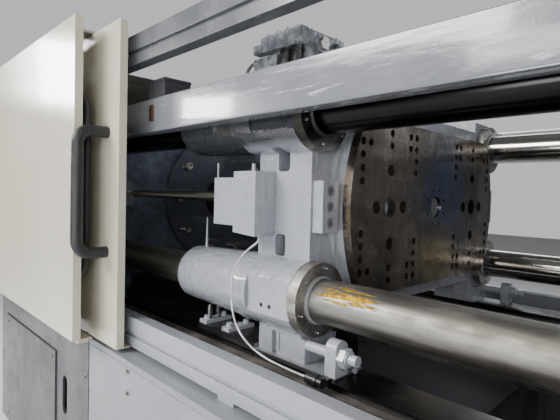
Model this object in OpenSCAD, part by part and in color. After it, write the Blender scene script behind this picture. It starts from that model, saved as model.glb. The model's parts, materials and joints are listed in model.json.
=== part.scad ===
// Horizontal injection moulding machine, direct hydraulic clamp on the left, injection unit on the right.
// X runs from the clamp to the injection unit, -Y is the operator's side, Z = 0 is the floor.

/* [Bed] */
// Length of the bed and of the whole machine
bed_len = 6020; // [5900:10:6400]
// Width of the bed over its two ledges
bed_w = 1602; // [1580:2:1700]
// Height of the ledge above the floor
ledge_z = 777; // [760:1:790]
// Height of the levelling feet
foot_h = 80; // [60:1:110]
// Thickness of the bed's welded plates
bed_plate = 20; // [14:1:26]
// Width of each way beam that carries the platens
way_beam_w = 160; // [150:1:180]
// Distance between the centres of the two way beams
way_pitch = 1080; // [1040:1:1100]
// Height of the way beams' top above the floor
way_z = 834; // [810:1:840]
// Thickness of the hardened way strips
strip_t = 16; // [12:1:18]
// Width of the hardened way strips
strip_w = 120; // [100:1:130]

/* [Clamp] */
// Height of the clamp's centreline above the floor
axis_z = 1250; // [1240:1:1300]
// Position of the moving platen's mould face along the machine
mould_face_x = -1050; // [-1060:1:-1040]
// Free length between the two mould faces as stored
daylight = 900; // [860:1:920]
// Diameter of the tie bars
tie_bar_d = 110; // [100:1:120]
// Distance between tie bar centres across the machine
tie_pitch_y = 1080; // [1070:1:1090]
// Distance between tie bar centres up the machine
tie_pitch_z = 470; // [450:1:480]
// Outer diameter of the tie bar nuts
nut_d = 180; // [160:1:190]
// Length of the tie bar nuts
nut_len = 110; // [90:1:120]
// Radial clearance of sliding and bored fits
fit = 0.05; // [0.02:0.01:0.08]

/* [Moving platen] */
// Diameter of the round mould plate before its top and bottom are cut flat
plate_d = 940; // [920:1:950]
// Height of the mould plate between its flats
plate_h = 490; // [470:1:500]
// Thickness of the mould plate
plate_t = 25; // [20:1:30]
// Thickness of the painted disc behind the mould plate
disc_t = 21; // [16:1:26]
// Width of the rim of the step between the disc and the casting
step_rim = 15; // [8:1:20]
// Thickness of that step
step_t = 14; // [10:1:18]
// Width of the platen casting between its flat sides
casting_w = 1110; // [1100:1:1120]
// Height of the platen casting between the bosses
casting_h = 600; // [590:1:620]
// Depth of the platen casting along the machine
casting_t = 194; // [180:1:210]
// Wall thickness of the platen casting
casting_wall = 38; // [30:1:44]
// Diameter of the tie bar bosses
boss_d = 194; // [186:1:196]
// Distance from a boss's centre to its milled side flat
boss_flat = 85; // [80:1:90]
// Length of the bosses behind the casting
boss_back = 22; // [16:1:30]
// Diameter of the guide sleeves at the bosses
sleeve_root_d = 190; // [180:1:192]
// Diameter of the guide sleeves at their free ends
sleeve_end_d = 172; // [160:1:176]
// Length of the guide sleeves
sleeve_len = 292; // [270:1:300]
// Thickness of the wiper rings on the bosses
ring_t = 29; // [24:1:34]
// Thickness of the slide shoes between the platen's feet and the way strips
shoe_t = 5; // [4:1:8]

/* [Hole pattern] */
// Pitch of the mould fixing holes
grid = 35; // [34:0.5:36]
// Diameter of the mould fixing holes
tap_d = 21; // [18:0.5:22]
// Diameter of the centre bore in the moving platen
centre_bore_d = 68; // [60:1:72]
// Diameter of the large ejector holes
ejector_hole_d = 56; // [50:1:58]
// Diameter of the small ejector holes
small_ejector_d = 37; // [34:1:40]
// Diameter of the locating bore in the fixed platen
locating_d = 160; // [150:1:170]
// Depth of the locating bore
locating_depth = 30; // [25:1:40]

/* [Clamp end] */
// Distance from the moving mould face to the gland flange
gland_dx = 1162; // [1150:1:1166]
// Diameter of the gland flange
gland_d = 632; // [620:1:640]
// Thickness of the gland flange
gland_t = 30; // [24:1:36]
// Pitch circle of the gland bolts
gland_pcd = 518; // [505:1:530]
// Diameter of the groove in the gland flange
gland_groove_d = 430; // [420:1:440]
// Diameter of the main ram
ram_d = 200; // [190:1:210]
// Outer diameter of the clamp cylinder
cylinder_d = 560; // [540:1:580]
// Thickness of the cylinder platen
cylinder_platen_t = 280; // [260:1:290]
// Thickness of the fixed platen
fixed_platen_t = 250; // [230:1:260]
// Rim of the two fixed platens round a tie bar's centre
platen_rim = 110; // [106:1:115]
// Diameter of the traverse rods
rod_d = 30; // [26:1:34]
// Diameter of the traverse cylinders
traverse_d = 80; // [70:1:90]

/* [Gates] */
// Distance from the machine's centre plane to the inner gate's face
gate_y = 801; // [799:1:806]
// Distance from the machine's centre plane to the outer gate's face
outer_gate_y = 891; // [888:1:896]
// Width of each gate panel
gate_w = 1150; // [1100:1:1160]
// Depth of the gates' folded edges
gate_depth = 25; // [20:1:28]
// Thickness of the gates' sheet
sheet_t = 3; // [2:0.5:4]
// Position of the inner gate's leading edge as stored
gate_edge_x = -1670; // [-1690:1:-1660]
// Position of the outer gate's leading edge as stored
outer_edge_x = -1783; // [-1800:1:-1770]
// Bottom of the inner gate
gate_z0 = 788; // [785:1:792]
// Top of the inner gate
gate_z1 = 1794; // [1785:1:1796]
// Bottom of the outer gate
outer_z0 = 804; // [802:1:810]
// Top of the outer gate
outer_z1 = 1811; // [1808:1:1820]
// Diameter of the gate handles' tube
handle_d = 36; // [30:1:38]
// Distance between the legs of a gate handle
handle_len = 377; // [340:1:400]
// Distance from the gate to the middle of its grip
handle_off = 92; // [80:1:98]

/* [Gate rails] */
// Depth of the gate rails
rail_depth = 40; // [36:1:42]
// Height of the upper rail
rail_h = 93; // [85:1:100]
// Bottom of the upper rail
upper_rail_z = 1667; // [1660:1:1670]
// Bottom of the lower rail
lower_rail_z = 788; // [786:1:792]
// Height of the groove in each rail
groove_h = 12; // [10:1:14]
// Depth of the groove in each rail
groove_depth = 9; // [7:1:12]

/* [Injection unit] */
// Outer diameter of the plasticising barrel
barrel_d = 150; // [140:1:160]
// Diameter of the screw
screw_d = 60; // [55:1:60]
// Length of the barrel from the nozzle to its rear end
barrel_len = 1190; // [1150:1:1200]
// Pitch of the screw's flight
flight_pitch = 80; // [70:1:100]
// Top width of the hopper
hopper_w = 520; // [480:1:560]
// Height of the hopper's cone
hopper_h = 420; // [380:1:460]

/* [Hidden] */
$fn = 64;

// Painted and bare finishes
paint_grey = [0.66, 0.68, 0.72];
dark_grey = [0.36, 0.38, 0.40];
cream = [0.88, 0.86, 0.76];
black = [0.07, 0.07, 0.08];
steel = [0.62, 0.61, 0.58];
oily_steel = [0.23, 0.21, 0.19];

// Half width of the bed and places along the machine
half_w = bed_w / 2;
cover_t = 11;
wall_y = half_w - cover_t;
way_in = way_pitch / 2 - way_beam_w / 2;
way_out = way_pitch / 2 + way_beam_w / 2;
strip_z = way_z + strip_t;
tie_y = tie_pitch_y / 2;
tie_z = tie_pitch_z / 2;
fixed_face_x = mould_face_x + daylight;
fixed_back_x = fixed_face_x + fixed_platen_t;
casting_x1 = mould_face_x - plate_t - disc_t - step_t;
casting_x0 = casting_x1 - casting_t;
boss_x0 = casting_x0 - boss_back;
gland_x1 = mould_face_x - gland_dx;
cyl_platen_x1 = gland_x1 - gland_t;
cyl_platen_x0 = cyl_platen_x1 - cylinder_platen_t;
fixed_half_w = tie_y + platen_rim;
clamp_end_len = 488;
bed_x0 = cyl_platen_x0 - clamp_end_len;
bed_x1 = bed_x0 + bed_len;
clamp_bed_x1 = fixed_back_x + 320;
step_d = plate_d + 2 * step_rim;
casting_side = casting_w / 2;
casting_top = axis_z + casting_h / 2;
seat = 0.3;
piston_d = ram_d + 20;
ram_seat = 50;
weld = 0.2;

// A bar with its axis along X
module bar_x(x0, x1, y, z, d) {
    translate([x0, y, z]) rotate([0, 90, 0]) cylinder(h = x1 - x0, d = d);
}

// A tapered bar with its axis along X
module cone_x(x0, x1, y, z, d0, d1) {
    translate([x0, y, z]) rotate([0, 90, 0]) cylinder(h = x1 - x0, d1 = d0, d2 = d1);
}

// A block between two opposite corners
module block(a, b) {
    translate(a) cube(b - a);
}

// A hexagonal nut or bolt head with its axis along X
module hex_x(x0, x1, y, z, flats) {
    translate([x0, y, z]) rotate([0, 90, 0]) rotate([0, 0, 30])
        cylinder(h = x1 - x0, d = flats / cos(30), $fn = 6);
}

// A socket head screw that stands on a face and points along +X
module socket_screw_x(x, y, z, d) {
    difference() {
        bar_x(x, x + d, y, z, d * 1.5);
        hex_x(x + d * 0.45, x + d + 1, y, z, d * 0.8);
    }
}

// The four tie bar places as [y, z]
tie_places = [for (sy = [-1, 1], sz = [-1, 1]) [sy * tie_y, axis_z + sz * tie_z]];

// Bed

tray_len = 1310;
tray_x0 = bed_x1 - tray_len;
tray_z = 320;
tray_half_w = 500;
way_beam_h = 270;
deck_z = ledge_z - bed_plate;
slot_cross_dx = 970;
cross_places = [bed_x0 + slot_cross_dx, mould_face_x + 140, fixed_face_x + 110];
deck_cross_places = [clamp_bed_x1 - bed_plate, tray_x0 - bed_plate, bed_x1 - bed_plate];

// Welded way beam with a top plate, two walls and two end caps, in the left half of the bed
module way_beam() {
    x0 = bed_x0 + bed_plate + weld;
    x1 = clamp_bed_x1 - bed_plate - weld;
    z0 = way_z - way_beam_h;
    z1 = way_z - bed_plate - weld;
    block([x0, -way_out, way_z - bed_plate], [x1, -way_in, way_z]);
    for (y = [-way_out, -way_in - bed_plate]) {
        block([x0, y, z0], [x1, y + bed_plate, z1]);
    }
    for (x = [x0, x1 - bed_plate]) {
        block([x, -way_out + bed_plate + weld, z0], [x + bed_plate, -way_in - bed_plate - weld, z1]);
    }
}

panel_x0 = bed_x0 + 110;
panel_x1 = bed_x0 + 815;
panel_top = 645;
panel_rim = 40;
service_hole_x = bed_x0 + 905;
service_hole_z = 500;
slot_half_w = 50;
slot_half_h = 110;

// One stretch of the front side wall, with its own foot and head height
module wall_stretch(x0, x1, z0, z1) {
    block([x0, -wall_y, z0], [x1 - weld, -wall_y + bed_plate, z1]);
}

module front_wall() {
    wall_stretch(bed_x0, panel_x0 + panel_rim, foot_h, deck_z - weld);
    wall_stretch(panel_x0 + panel_rim, panel_x1 - panel_rim, foot_h, 2 * foot_h);
    wall_stretch(panel_x0 + panel_rim, panel_x1 - panel_rim, panel_top - panel_rim, deck_z - weld);
    wall_stretch(panel_x1 - panel_rim, service_hole_x - slot_half_w, foot_h, deck_z - weld);
    wall_stretch(service_hole_x - slot_half_w, service_hole_x + slot_half_w, foot_h,
        service_hole_z - slot_half_h);
    wall_stretch(service_hole_x - slot_half_w, service_hole_x + slot_half_w, service_hole_z + slot_half_h,
        deck_z - weld);
    wall_stretch(service_hole_x + slot_half_w, bed_x1 + weld, foot_h, deck_z - weld);
}

// Welded bed of plain plates
module bed_frame() {
    inner_y = wall_y - bed_plate - weld;
    color(dark_grey) {
        front_wall();
        block([bed_x0, wall_y - bed_plate, foot_h], [bed_x1, wall_y, deck_z - weld]);
        for (s = [0, 1]) mirror([0, s, 0]) {
            block([bed_x0, -half_w, deck_z], [bed_x1, -way_out - weld, ledge_z]);
            way_beam();
        }
        for (x = cross_places) {
            block([x, -inner_y, foot_h], [x + bed_plate, inner_y, way_z - way_beam_h - weld]);
        }
        for (x = deck_cross_places) {
            block([x, -inner_y, foot_h], [x + bed_plate, inner_y, deck_z - weld]);
        }
        block([bed_x0, -inner_y, foot_h], [bed_x0 + bed_plate, inner_y, deck_z - weld]);
        block([bed_x0, -way_out, deck_z], [bed_x0 + bed_plate, way_out, ledge_z]);
        block([clamp_bed_x1 - bed_plate, -way_out, deck_z], [bed_x1, way_out, ledge_z]);
        block([tray_x0 + weld, -tray_half_w, tray_z - bed_plate],
            [bed_x1 - bed_plate - weld, tray_half_w, tray_z]);
    }
}

// Stadium hand hole through a sheet that stands in the XZ plane
module hand_hole(x, z) {
    translate([x, 0, z]) rotate([90, 0, 0]) linear_extrude(height = 3 * bed_w, center = true) union() {
        translate([0, 50]) circle(d = 46);
        translate([0, -50]) circle(d = 46);
        square([46, 100], center = true);
    }
}

first_cover = 1130;
cover_pitch = 1230;
cover_joints = concat([bed_x0], [for (i = [0 : 3]) bed_x0 + first_cover + i * cover_pitch], [bed_x1]);
cover_z0 = 100;

module bed_cover_row(with_panel) {
    for (i = [0 : len(cover_joints) - 2]) {
        difference() {
            block([cover_joints[i] + (i == 0 ? 0 : 3), -half_w, cover_z0],
                [cover_joints[i + 1] - (i == len(cover_joints) - 2 ? 0 : 3), -wall_y, ledge_z - bed_plate]);
            if (with_panel && i == 0) {
                block([panel_x0 - 2, -half_w - 1, cover_z0 + 20],
                    [panel_x1 + 2, -wall_y + 1, panel_top + 2]);
                hand_hole(service_hole_x, service_hole_z);
            }
        }
    }
}

module front_bed_covers() {
    color(paint_grey) bed_cover_row(true);
}

module rear_bed_covers() {
    color(paint_grey) mirror([0, 1, 0]) bed_cover_row(false);
}

module access_panel() {
    color(dark_grey) difference() {
        block([panel_x0, -half_w - 6, cover_z0 + 22], [panel_x1, -wall_y, panel_top]);
        block([panel_x0 + 3, -half_w - 3, cover_z0 + 25], [panel_x1 - 3, -wall_y + 1, panel_top - 3]);
    }
}

foot_inset = 210;
foot_n = 6;
foot_places = [for (i = [0 : foot_n - 1]) bed_x0 + foot_inset
    + i * (bed_len - 2 * foot_inset) / (foot_n - 1)];

module levelling_feet() {
    color(black) for (x = foot_places, s = [-1, 1]) {
        translate([x, s * (wall_y - 10), 0]) {
            cylinder(h = 25, d = 160);
            translate([0, 0, 25]) cylinder(h = foot_h - 25, d = 45);
        }
    }
}

module slide_ways() {
    color(black) for (s = [-1, 1]) {
        block([cyl_platen_x1 + 8, s * way_pitch / 2 - strip_w / 2, way_z],
            [fixed_face_x - 8, s * way_pitch / 2 + strip_w / 2, strip_z]);
    }
}

// Clamp frame

beam_t = 50;
beam_wall = 6;
beam_z0 = axis_z + 215;
beam_z1 = axis_z + 321;

module upper_beam() {
    difference() {
        block([cyl_platen_x0, -fixed_half_w - beam_t, beam_z0], [fixed_back_x, -fixed_half_w, beam_z1]);
        block([cyl_platen_x0 + beam_wall, -fixed_half_w - beam_t + beam_wall, beam_z0 + beam_wall],
            [fixed_back_x - beam_wall, -fixed_half_w - beam_wall, beam_z1 - beam_wall]);
    }
}

module upper_beam_front() {
    color(paint_grey) upper_beam();
}

module upper_beam_rear() {
    color(paint_grey) mirror([0, 1, 0]) upper_beam();
}

bar_over = 8;
bar_x0 = cyl_platen_x0 - nut_len - bar_over;
bar_x1 = fixed_back_x + nut_len + bar_over;

module tie_bar(y, z) {
    union() {
        bar_x(bar_x0 + 4, bar_x1 - 4, y, z, tie_bar_d);
        cone_x(bar_x0, bar_x0 + 4, y, z, tie_bar_d - 8, tie_bar_d);
        cone_x(bar_x1 - 4, bar_x1, y, z, tie_bar_d, tie_bar_d - 8);
    }
}

module tie_bar_upper_front() {
    color(oily_steel) tie_bar(-tie_y, axis_z + tie_z);
}

module tie_bar_lower_front() {
    color(steel) tie_bar(-tie_y, axis_z - tie_z);
}

module tie_bars_rear() {
    color(steel) for (s = [-1, 1]) tie_bar(tie_y, axis_z + s * tie_z);
}

module tie_bar_nut(x, p) {
    difference() {
        bar_x(x, x + nut_len, p[0], p[1], nut_d);
        bar_x(x - 1, x + nut_len + 1, p[0], p[1], tie_bar_d + 2 * fit);
        for (a = [0 : 60 : 300]) {
            translate([x - 1, p[0], p[1]]) rotate([a, 0, 0]) translate([0, -13, nut_d / 2 - 14])
                cube([nut_len + 2, 26, 30]);
        }
    }
}

module tie_bar_nuts() {
    color(dark_grey) for (p = tie_places) {
        tie_bar_nut(cyl_platen_x0 - nut_len, p);
        tie_bar_nut(fixed_back_x, p);
    }
}

// Mould fixing grid on one platen as [y, z, diameter] from its centre
grid_rows = [2, 3, 4, 5];
grid_holes = concat(
    [for (sy = [-1, 1], sz = [-1, 1], k = grid_rows) [sy * 12 * grid, sz * k * grid, tap_d]],
    [for (sy = [-1, 1], sz = [-1, 1]) [sy * 11 * grid, sz * 5 * grid, tap_d]],
    [for (sy = [-1, 1], sz = [-1, 1], k = [5, 6]) [sy * 8 * grid, sz * k * grid, tap_d]],
    [for (sy = [-1, 1], sz = [-1, 1], k = [5, 6]) [sy * 5 * grid, sz * k * grid, tap_d]],
    [for (sy = [-1, 1], sz = [-1, 1], k = [3, 4, 5, 6]) [sy * 4 * grid, sz * k * grid, tap_d]]);
ejector_holes = concat(
    [for (sy = [-1, 1]) [sy * 8 * grid, 0, ejector_hole_d]],
    [for (sy = [-1, 1], k = [6, 10]) [sy * k * grid, 0, small_ejector_d]],
    [for (sy = [-1, 1], sz = [-1, 1]) [sy * 8 * grid, sz * 3 * grid, small_ejector_d - 2]]);

// Round plate cut flat at top and bottom, with its axis along X
module barrel_plate(x0, x1, d, h) {
    intersection() {
        translate([x0, 0, axis_z]) rotate([0, 90, 0]) cylinder(h = x1 - x0, d = d, $fn = 128);
        block([x0 - 1, -d, axis_z - h / 2], [x1 + 1, d, axis_z + h / 2]);
    }
}

module holes_x(list, x0, x1) {
    for (p = list) {
        translate([x0, p[0], axis_z + p[1]]) rotate([0, 90, 0]) cylinder(h = x1 - x0, d = p[2], $fn = 24);
    }
}

// Body of a fixed platen with a boss round each tie bar, beam seats and two feet on the way beams
platen_waist = tie_y - 20;

module fixed_platen_body(x0, x1) {
    union() {
        block([x0, -platen_waist, axis_z - tie_z - platen_rim],
            [x1, platen_waist, axis_z + tie_z + platen_rim]);
        for (p = tie_places) {
            bar_x(x0, x1, p[0], p[1], 2 * platen_rim);
        }
        for (s = [0, 1]) mirror([0, s, 0]) {
            block([x0, -tie_y, axis_z + tie_z + 1], [x1, -platen_waist + 1, axis_z + tie_z + platen_rim]);
            block([x0, -tie_y, axis_z - tie_z - platen_rim], [x1, -platen_waist + 1, axis_z - tie_z - 1]);
            block([x0, -fixed_half_w, beam_z0], [x1, -tie_y, beam_z1]);
            block([x0 + 10, -tie_y - 75, way_z], [x1 - 10, -tie_y + 75, axis_z - tie_z - platen_rim + 1]);
        }
    }
}

nozzle_hole_d = 130;
nozzle_pocket_d = 360;
nozzle_wall = 90;

module stationary_platen() {
    color(paint_grey) difference() {
        union() {
            fixed_platen_body(fixed_face_x + plate_t, fixed_back_x);
            barrel_plate(fixed_face_x, fixed_face_x + plate_t + 1, plate_d, plate_h);
        }
        for (p = tie_places) {
            bar_x(fixed_face_x - 1, fixed_back_x + 1, p[0], p[1], tie_bar_d + 2 * fit);
        }
        holes_x(grid_holes, fixed_face_x - 1, fixed_face_x + plate_t + 35);
        bar_x(fixed_face_x - 1, fixed_face_x + locating_depth, 0, axis_z, locating_d);
        bar_x(fixed_face_x, fixed_back_x, 0, axis_z, nozzle_hole_d);
        bar_x(fixed_face_x + nozzle_wall, fixed_back_x + 1, 0, axis_z, nozzle_pocket_d);
    }
}

module cylinder_platen() {
    color(paint_grey) difference() {
        fixed_platen_body(cyl_platen_x0, cyl_platen_x1);
        for (p = tie_places) {
            bar_x(cyl_platen_x0 - 1, cyl_platen_x1 + 1, p[0], p[1], tie_bar_d + 2 * fit);
        }
        bar_x(cyl_platen_x0 - 1, cyl_platen_x1 + 1, 0, axis_z, piston_d);
    }
}

cylinder_x0 = bed_x0 + 40;
cylinder_end_t = 58;

module clamp_cylinder() {
    color(paint_grey) difference() {
        union() {
            bar_x(cylinder_x0, cyl_platen_x0, 0, axis_z, cylinder_d);
            bar_x(cyl_platen_x0 - 45, cyl_platen_x0, 0, axis_z, cylinder_d + 110);
        }
        bar_x(cylinder_x0 + cylinder_end_t, cyl_platen_x0 + 1, 0, axis_z, piston_d);
    }
}

module gland_flange() {
    color(dark_grey) difference() {
        bar_x(cyl_platen_x1, gland_x1, 0, axis_z, gland_d);
        bar_x(cyl_platen_x1 - 1, gland_x1 + 1, 0, axis_z, ram_d + 2 * fit);
        difference() {
            bar_x(gland_x1 - 3, gland_x1 + 1, 0, axis_z, gland_groove_d);
            bar_x(gland_x1 - 4, gland_x1 + 2, 0, axis_z, gland_groove_d - 8);
        }
    }
}

gland_bolt_d = 24;
gland_bolt_n = 10;

module gland_bolts() {
    color(steel) for (i = [0 : gland_bolt_n - 1]) {
        a = i * 360 / gland_bolt_n;
        socket_screw_x(gland_x1, -gland_pcd / 2 * cos(a), axis_z + gland_pcd / 2 * sin(a), gland_bolt_d);
    }
}

rod_gap = 35;
rod_y = casting_side + rod_gap;
rod_z = axis_z + 18;
traverse_x0 = bed_x0 + 50;
traverse_x1 = cyl_platen_x1 + 190;
platen_side = platen_waist;

module traverse_cylinder() {
    difference() {
        union() {
            bar_x(traverse_x0, traverse_x1, -rod_y, rod_z, traverse_d);
            bar_x(traverse_x1 - 34, traverse_x1, -rod_y, rod_z, traverse_d + 16);
            block([cyl_platen_x0 + 60, -rod_y, rod_z - 60], [cyl_platen_x1 - 60, -platen_side, rod_z + 60]);
        }
        bar_x(traverse_x0 + 20, traverse_x1 - 60, -rod_y, rod_z, traverse_d - 16);
        bar_x(traverse_x0 + 20, traverse_x1 + 1, -rod_y, rod_z, rod_d + 2 * fit);
    }
}

module traverse_cylinders() {
    color(dark_grey) for (s = [0, 1]) mirror([0, s, 0]) traverse_cylinder();
}

// Fixed sheet guard round the clamp end
guard_gap = 61;
guard_y = fixed_half_w + guard_gap;
guard_t = 3;
guard_x1 = cyl_platen_x1 - 8;
guard_z1 = 1790;

module clamp_guard() {
    color(cream) difference() {
        block([bed_x0, -guard_y, ledge_z], [guard_x1, guard_y, guard_z1]);
        block([bed_x0 + guard_t, -guard_y + guard_t, ledge_z - 1],
            [guard_x1 + 1, guard_y - guard_t, guard_z1 - guard_t]);
    }
}

// Gate rails

rail_front = guard_y + rail_depth;
rail_x0 = bed_x0 + 70;
console_x0 = -110;
groove_dz = 32;

module gate_rail(z, x1) {
    difference() {
        block([rail_x0, -rail_front, z], [x1, -guard_y, z + rail_h]);
        block([rail_x0 - 1, -rail_front - 1, z + groove_dz],
            [x1 + 1, -rail_front + groove_depth, z + groove_dz + groove_h]);
    }
}

module lower_rail(x1) {
    union() {
        gate_rail(lower_rail_z, x1);
        for (x = [rail_x0 + 40 : 560 : x1]) {
            block([x, -rail_front, ledge_z], [x + 60, -guard_y, lower_rail_z]);
        }
    }
}

module gate_rail_upper_front() {
    color(paint_grey) gate_rail(upper_rail_z, console_x0);
}

module gate_rail_lower_front() {
    color(paint_grey) lower_rail(console_x0);
}

module gate_rails_rear() {
    color(paint_grey) mirror([0, 1, 0]) union() {
        gate_rail(upper_rail_z, console_x0 + 60);
        lower_rail(console_x0 + 60);
        block([console_x0, -rail_front, ledge_z], [console_x0 + 60, -guard_y, upper_rail_z + rail_h]);
    }
}

box_x0 = -1690;
box_x1 = -1588;
box_h = 56;

module terminal_box() {
    color(dark_grey) union() {
        block([box_x0 + 2, -fixed_half_w - beam_t + 4, beam_z1],
            [box_x1 - 2, -fixed_half_w + 46, beam_z1 + box_h - 9]);
        block([box_x0, -fixed_half_w - beam_t + 2, beam_z1 + box_h - 10],
            [box_x1, -fixed_half_w + 48, beam_z1 + box_h]);
    }
}

// Moving platen

foot_z0 = strip_z + shoe_t + seat;

// Outline of the casting seen along the machine
module casting_outline() {
    union() {
        square([casting_w, casting_h], center = true);
        for (sy = [-1, 1], sz = [-1, 1]) {
            translate([sy * tie_y, sz * tie_z]) circle(d = boss_d);
        }
        for (sy = [-1, 1]) {
            translate([sy * tie_y - 100, tie_z]) square([200, 105]);
        }
    }
}

// One tie bar boss with its milled side flat
module tie_boss(sy, sz) {
    difference() {
        bar_x(boss_x0, casting_x1, sy * tie_y, axis_z + sz * tie_z, boss_d);
        block([casting_x1 - 156, sy > 0 ? tie_y + boss_flat : -tie_y - boss_d, axis_z + sz * tie_z - boss_d],
            [casting_x1 + 1, sy > 0 ? tie_y + boss_d : -tie_y - boss_flat, axis_z + sz * tie_z + boss_d]);
    }
}

// Rounded window through a side wall of the casting
module side_window(x0, x1, z0, z1) {
    r = 10;
    translate([x0, 0, z0]) rotate([90, 0, 0]) linear_extrude(height = 2 * casting_w, center = true)
        union() {
        translate([r, 0]) square([x1 - x0 - 2 * r, z1 - z0]);
        translate([0, r]) square([x1 - x0, z1 - z0 - 2 * r]);
        for (x = [r, x1 - x0 - r], z = [r, z1 - z0 - r]) translate([x, z]) circle(r = r, $fn = 24);
    }
}

foot_y0 = 455;
foot_y1 = casting_side + 23;
foot_x0 = casting_x0 + 38;
foot_nose = 14;
foot_top = axis_z - casting_h / 2;
nose_top = axis_z - tie_z - boss_d / 2 - 2;
foot_groove_x = foot_x0 + 51;
foot_groove_w = 19;
pocket_x = foot_groove_x + foot_groove_w + 8;
pocket_w = 55;
lug_end = 62;

// Foot of the casting, with an upright groove and a shallow pocket in its outer face
module platen_foot() {
    difference() {
        union() {
            block([foot_x0, -foot_y1, foot_z0], [casting_x1, -foot_y0, foot_top + 1]);
            block([casting_x1 - 1, -foot_y1, foot_z0], [casting_x1 + foot_nose, -foot_y0, nose_top]);
        }
        block([foot_groove_x, -foot_y1 - 1, foot_z0 - 1],
            [foot_groove_x + foot_groove_w, -foot_y1 + 12, nose_top]);
        block([pocket_x, -foot_y1 - 1, foot_z0 + 14], [pocket_x + pocket_w, -foot_y1 + 3, nose_top]);
    }
}

window_x0 = casting_x0 + 74;
window_x1 = casting_x0 + 117;

module moving_platen() {
    color(paint_grey) difference() {
        union() {
            translate([casting_x0, 0, axis_z]) rotate([90, 0, 90])
                linear_extrude(height = casting_t) casting_outline();
            for (sy = [-1, 1], sz = [-1, 1]) tie_boss(sy, sz);
            barrel_plate(casting_x1 - 1, casting_x1 + step_t, step_d, plate_h);
            barrel_plate(casting_x1 - 1, casting_x1 + step_t + disc_t, plate_d, plate_h);
            for (s = [0, 1]) mirror([0, s, 0]) platen_foot();
            for (s = [0, 1]) mirror([0, s, 0]) {
                block([casting_x0 + 26, -rod_y - 26, rod_z - 40],
                    [casting_x0 + lug_end, -casting_side + 1, rod_z + 40]);
            }
        }
        // Milled flats of the bosses
        for (sy = [0, 1], sz = [-1, 1]) mirror([0, sy, 0]) {
            block([casting_x1 - 156, -tie_y - boss_d, axis_z + sz * tie_z - boss_d / 2],
                [casting_x1 + 1, -tie_y - boss_flat, axis_z + sz * tie_z + boss_d / 2]);
        }
        // Box section inside the casting
        for (s = [-1, 1]) {
            block([casting_x0 + casting_wall, s > 0 ? 130 : -tie_y + boss_d / 2 + 12,
                axis_z - casting_h / 2 + casting_wall],
                [casting_x1 - casting_wall, s > 0 ? tie_y - boss_d / 2 - 12 : -130,
                    axis_z + casting_h / 2 - casting_wall]);
        }
        // Side windows above and below the rod anchor on both sides
        side_window(window_x0, window_x1, axis_z + 91, axis_z + 152);
        side_window(window_x0 - 5, window_x1 - 10, axis_z - 137, axis_z - 78);
        // Windows in the top of the box section
        for (y = [-300, 300]) {
            translate([casting_x0 + casting_t / 2, y, axis_z]) linear_extrude(height = casting_h)
                square([90, 200], center = true);
        }
        // Rear opening that takes the ejector cylinder
        bar_x(casting_x0 + 60, casting_x1 - 60, 0, axis_z, 190);
        bar_x(casting_x0 - 1, casting_x0 + ram_seat, 0, axis_z, ram_d + 2 * fit);
        for (p = tie_places) {
            bar_x(boss_x0 - 1, mould_face_x, p[0], p[1], tie_bar_d + 2 * fit);
            bar_x(casting_x1, mould_face_x, p[0], p[1], boss_d - 2);
        }
        holes_x(grid_holes, casting_x1 + 1, mould_face_x);
        holes_x([for (p = ejector_holes) [p[0], p[1], p[2]]], casting_x1 - casting_wall - 1, mould_face_x);
        holes_x([[0, 0, centre_bore_d]], casting_x1 - 61, mould_face_x);
        for (s = [-1, 1]) bar_x(casting_x0, casting_x0 + lug_end + 1, s * rod_y, rod_z, rod_d + 2 * fit);
    }
}

// Mould plate with its fixing holes and the ring of small screws round the centre bore
ring_hole_r = 59;
ring_hole_n = 8;

module mould_plate() {
    color(oily_steel) difference() {
        barrel_plate(mould_face_x - plate_t, mould_face_x, plate_d, plate_h);
        holes_x(grid_holes, mould_face_x - plate_t - 1, mould_face_x + 1);
        holes_x(ejector_holes, mould_face_x - plate_t - 1, mould_face_x + 1);
        holes_x([[0, 0, centre_bore_d]], mould_face_x - plate_t - 1, mould_face_x + 1);
        for (p = tie_places) bar_x(mould_face_x - plate_t - 1, mould_face_x + 1, p[0], p[1], boss_d - 2);
        for (i = [0 : ring_hole_n - 1]) {
            a = (i + 0.5) * 360 / ring_hole_n;
            bar_x(mould_face_x - 14, mould_face_x + 1, ring_hole_r * cos(a),
                axis_z + ring_hole_r * sin(a), 10);
        }
    }
}

module platen_sleeve(y, z) {
    difference() {
        union() {
            cone_x(boss_x0 - sleeve_len + 8, boss_x0, y, z, sleeve_end_d, sleeve_root_d);
            cone_x(boss_x0 - sleeve_len, boss_x0 - sleeve_len + 8, y, z, sleeve_end_d - 16, sleeve_end_d);
        }
        bar_x(boss_x0 - sleeve_len - 1, boss_x0 + 1, y, z, tie_bar_d + 2 * fit);
        bar_x(boss_x0 - sleeve_len - 1, boss_x0 - sleeve_len + 20, y, z, tie_bar_d + 24);
    }
}

// Slender feeler that stands on each lower sleeve near its free end
feeler_inset = 44;
feeler_h = 100;

module platen_sleeves() {
    color(paint_grey) for (p = tie_places) union() {
        platen_sleeve(p[0], p[1]);
        if (p[1] < axis_z) {
            translate([boss_x0 - sleeve_len + feeler_inset, p[0], p[1] + sleeve_end_d / 2 - 3])
                cylinder(h = feeler_h, d1 = 10, d2 = 3);
        }
    }
}

module wiper_rings() {
    color(dark_grey) for (p = tie_places) {
        difference() {
            bar_x(casting_x1, casting_x1 + ring_t, p[0], p[1], boss_d - 4);
            bar_x(casting_x1 - 1, casting_x1 + ring_t + 1, p[0], p[1], tie_bar_d + 2 * fit);
            bar_x(casting_x1 + ring_t - 6, casting_x1 + ring_t + 1, p[0], p[1], tie_bar_d + 18);
        }
    }
}

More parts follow.
